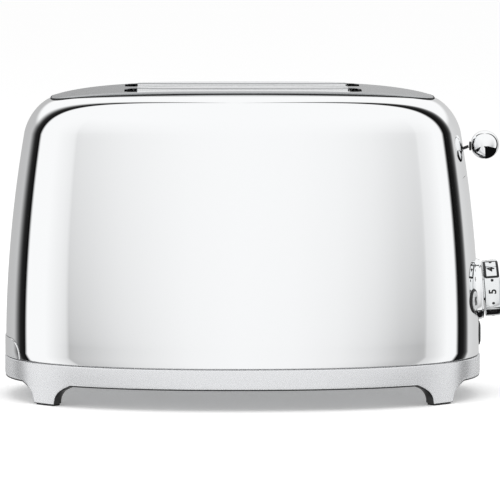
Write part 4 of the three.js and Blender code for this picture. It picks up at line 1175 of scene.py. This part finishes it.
def room():
    """The room: white for the camera, plain soft light for matt surfaces, and cards and flags for mirrors."""
    world = bpy.data.worlds.new("studio_room")
    scene.world = world
    world.use_nodes = True
    tree = world.node_tree
    tree.nodes.clear()
    smooth = dict(interpolation_type="SMOOTHSTEP")
    blend = dict(data_type="RGBA")
    product = dict(data_type="RGBA", blend_type="MULTIPLY")

    # The share is 0.5 straight ahead of the object and runs out to 0 and 1 behind it. A way of sight that rises
    # counts as further ahead
    lean = 0.2
    view = add(tree, "ShaderNodeTexCoord").outputs["Generated"]
    x, y, z = add(tree, "ShaderNodeSeparateXYZ", {0: view}).outputs
    leaning = add(tree, "ShaderNodeMath", {0: z, 1: lean}, operation="MULTIPLY").outputs[0]
    ahead = add(tree, "ShaderNodeMath", {0: leaning, 1: y}, operation="SUBTRACT").outputs[0]
    around = add(tree, "ShaderNodeMath", {0: x, 1: ahead}, operation="ARCTAN2").outputs[0]
    turn_ends = {"From Min": -math.pi, "From Max": math.pi}
    share = add(tree, "ShaderNodeMapRange", {"Value": around, **turn_ends}).outputs[0]

    # Grey cards that fade upwards, paler ones behind, and black flags that draw the dark bands at both ends
    cards = ring_of_cards(
        tree, share,
        [(0, 252), (0.06, 248), (0.12, 239), (0.19, 227), (0.277, 207), (0.335, 196), (0.36, 189),
         (0.372, 222), (0.40, 234), (0.44, 245), (0.48, 254), (1, 255)],
        [(0, 252), (0.06, 250), (0.14, 242), (0.22, 226), (0.30, 200), (0.37, 187), (0.395, 189),
         (0.405, 217), (0.44, 228), (0.48, 242), (0.52, 254), (1, 255)])
    back = ring_of_cards(tree, share, [(0, 255), (0.66, 255), (0.72, 200), (0.82, 193), (1, 190)],
                         [(0, 255), (0.64, 255), (0.70, 222), (0.80, 213), (1, 207)])
    flags = ring_of_cards(
        tree, share,
        [(0, 255), (0.612, 255), (0.632, 14), (0.672, 34), (0.685, 48), (0.695, 76), (0.707, 113),
         (0.72, 158), (0.735, 203), (0.75, 236), (0.765, 255), (1, 255)],
        [(0, 255), (0.585, 255), (0.605, 14), (0.655, 30), (0.667, 51), (0.68, 73), (0.692, 112),
         (0.703, 178), (0.713, 242), (0.72, 255), (1, 255)])

    # The heights that each of them fades over
    card_ends, card_curve = {"From Min": -0.1, "From Max": 0.72}, 0.55
    back_ends = {"From Min": 0.22, "From Max": 0.34}
    rise = add(tree, "ShaderNodeMapRange", {"Value": z, **card_ends}).outputs[0]
    climb = add(tree, "ShaderNodeMath", {0: rise, 1: card_curve}, operation="POWER").outputs[0]
    above = add(tree, "ShaderNodeMapRange", {"Value": z, **back_ends}, **smooth).outputs[0]
    seen = add(tree, "ShaderNodeMix", {"Factor": climb, 6: cards, 7: white}, **blend).outputs[2]
    back = add(tree, "ShaderNodeMix", {"Factor": above, 6: back, 7: white}, **blend).outputs[2]
    seen = add(tree, "ShaderNodeMix", {"Factor": 1.0, 6: seen, 7: back}, **product).outputs[2]
    seen = add(tree, "ShaderNodeMix", {"Factor": 1.0, 6: seen, 7: flags}, **product).outputs[2]

    # A dark patch steeply down and to the rear
    low_ends, rear_ends = {"From Min": -0.58, "From Max": -0.70}, {"From Min": 0.02, "From Max": 0.12}
    low = add(tree, "ShaderNodeMapRange", {"Value": z, **low_ends}, **smooth).outputs[0]
    rear = add(tree, "ShaderNodeMapRange", {"Value": y, **rear_ends}, **smooth).outputs[0]
    patch = add(tree, "ShaderNodeMath", {0: low, 1: rear}, operation="MULTIPLY").outputs[0]
    seen = add(tree, "ShaderNodeMix", {"Factor": patch, 6: seen, 7: colour("#141415")}, **blend).outputs[2]
    mirror = add(tree, "ShaderNodeBackground", {"Color": seen, "Strength": 1.0}).outputs[0]
    soft = add(tree, "ShaderNodeBackground", {"Color": white, "Strength": 0.80}).outputs[0]
    clear = add(tree, "ShaderNodeBackground", {"Color": white, "Strength": 1.0}).outputs[0]
    path = add(tree, "ShaderNodeLightPath").outputs
    inner = add(tree, "ShaderNodeMixShader", {0: path["Is Glossy Ray"], 1: soft, 2: mirror}).outputs[0]
    outer = add(tree, "ShaderNodeMixShader", {0: path["Is Camera Ray"], 1: inner, 2: clear}).outputs[0]
    add(tree, "ShaderNodeOutputWorld", {"Surface": outer})


def lamp(name, spot, size, power):
    """A square lamp that shines on the middle of the object."""
    light = bpy.data.lights.new(name, "AREA")
    light.size = size
    light.energy = power
    holder = new_object(name, light)
    holder.location = spot
    holder.rotation_euler = (Vector(object_middle) - Vector(spot)).to_track_quat("-Z", "Y").to_euler()
    holder.visible_glossy = False


def camera():
    """The photograph's camera, 3.6 m away, 5.5 degrees up and 0.8 degrees left of the middle."""
    tilt, swing, distance, sensor = math.radians(5.5), math.radians(0.8), 3.6, 36
    picture_pixels, pixels_per_metre = 500, 1566
    data = bpy.data.cameras.new("camera")
    data.sensor_width = sensor
    data.lens = sensor * distance / (picture_pixels / pixels_per_metre)
    data.clip_end = 100
    holder = new_object("camera", data)
    aim = Vector((-0.00243, 0, 0.0921))
    away = Vector((-math.sin(swing) * math.cos(tilt), -math.cos(swing) * math.cos(tilt), math.sin(tilt)))
    holder.location = aim + distance * away
    holder.rotation_euler = (math.pi / 2 - tilt, 0, -swing)
    scene.camera = holder


floor()
room()
card("card_under_ball", [(0.13, -0.14), (0.21, -0.14), (0.21, 0.02), (0.149, 0.02), (0.146, -0.05),
                         (0.13, -0.10)], 0.140, "#0e0e0f")
lamp("lamp_top", (0.0, -0.3, 1.6), 1.6, 9.0)
lamp("lamp_left", (-1.4, -1.0, 0.9), 1.0, 4.0)
camera()
scene.view_settings.view_transform = "Standard"
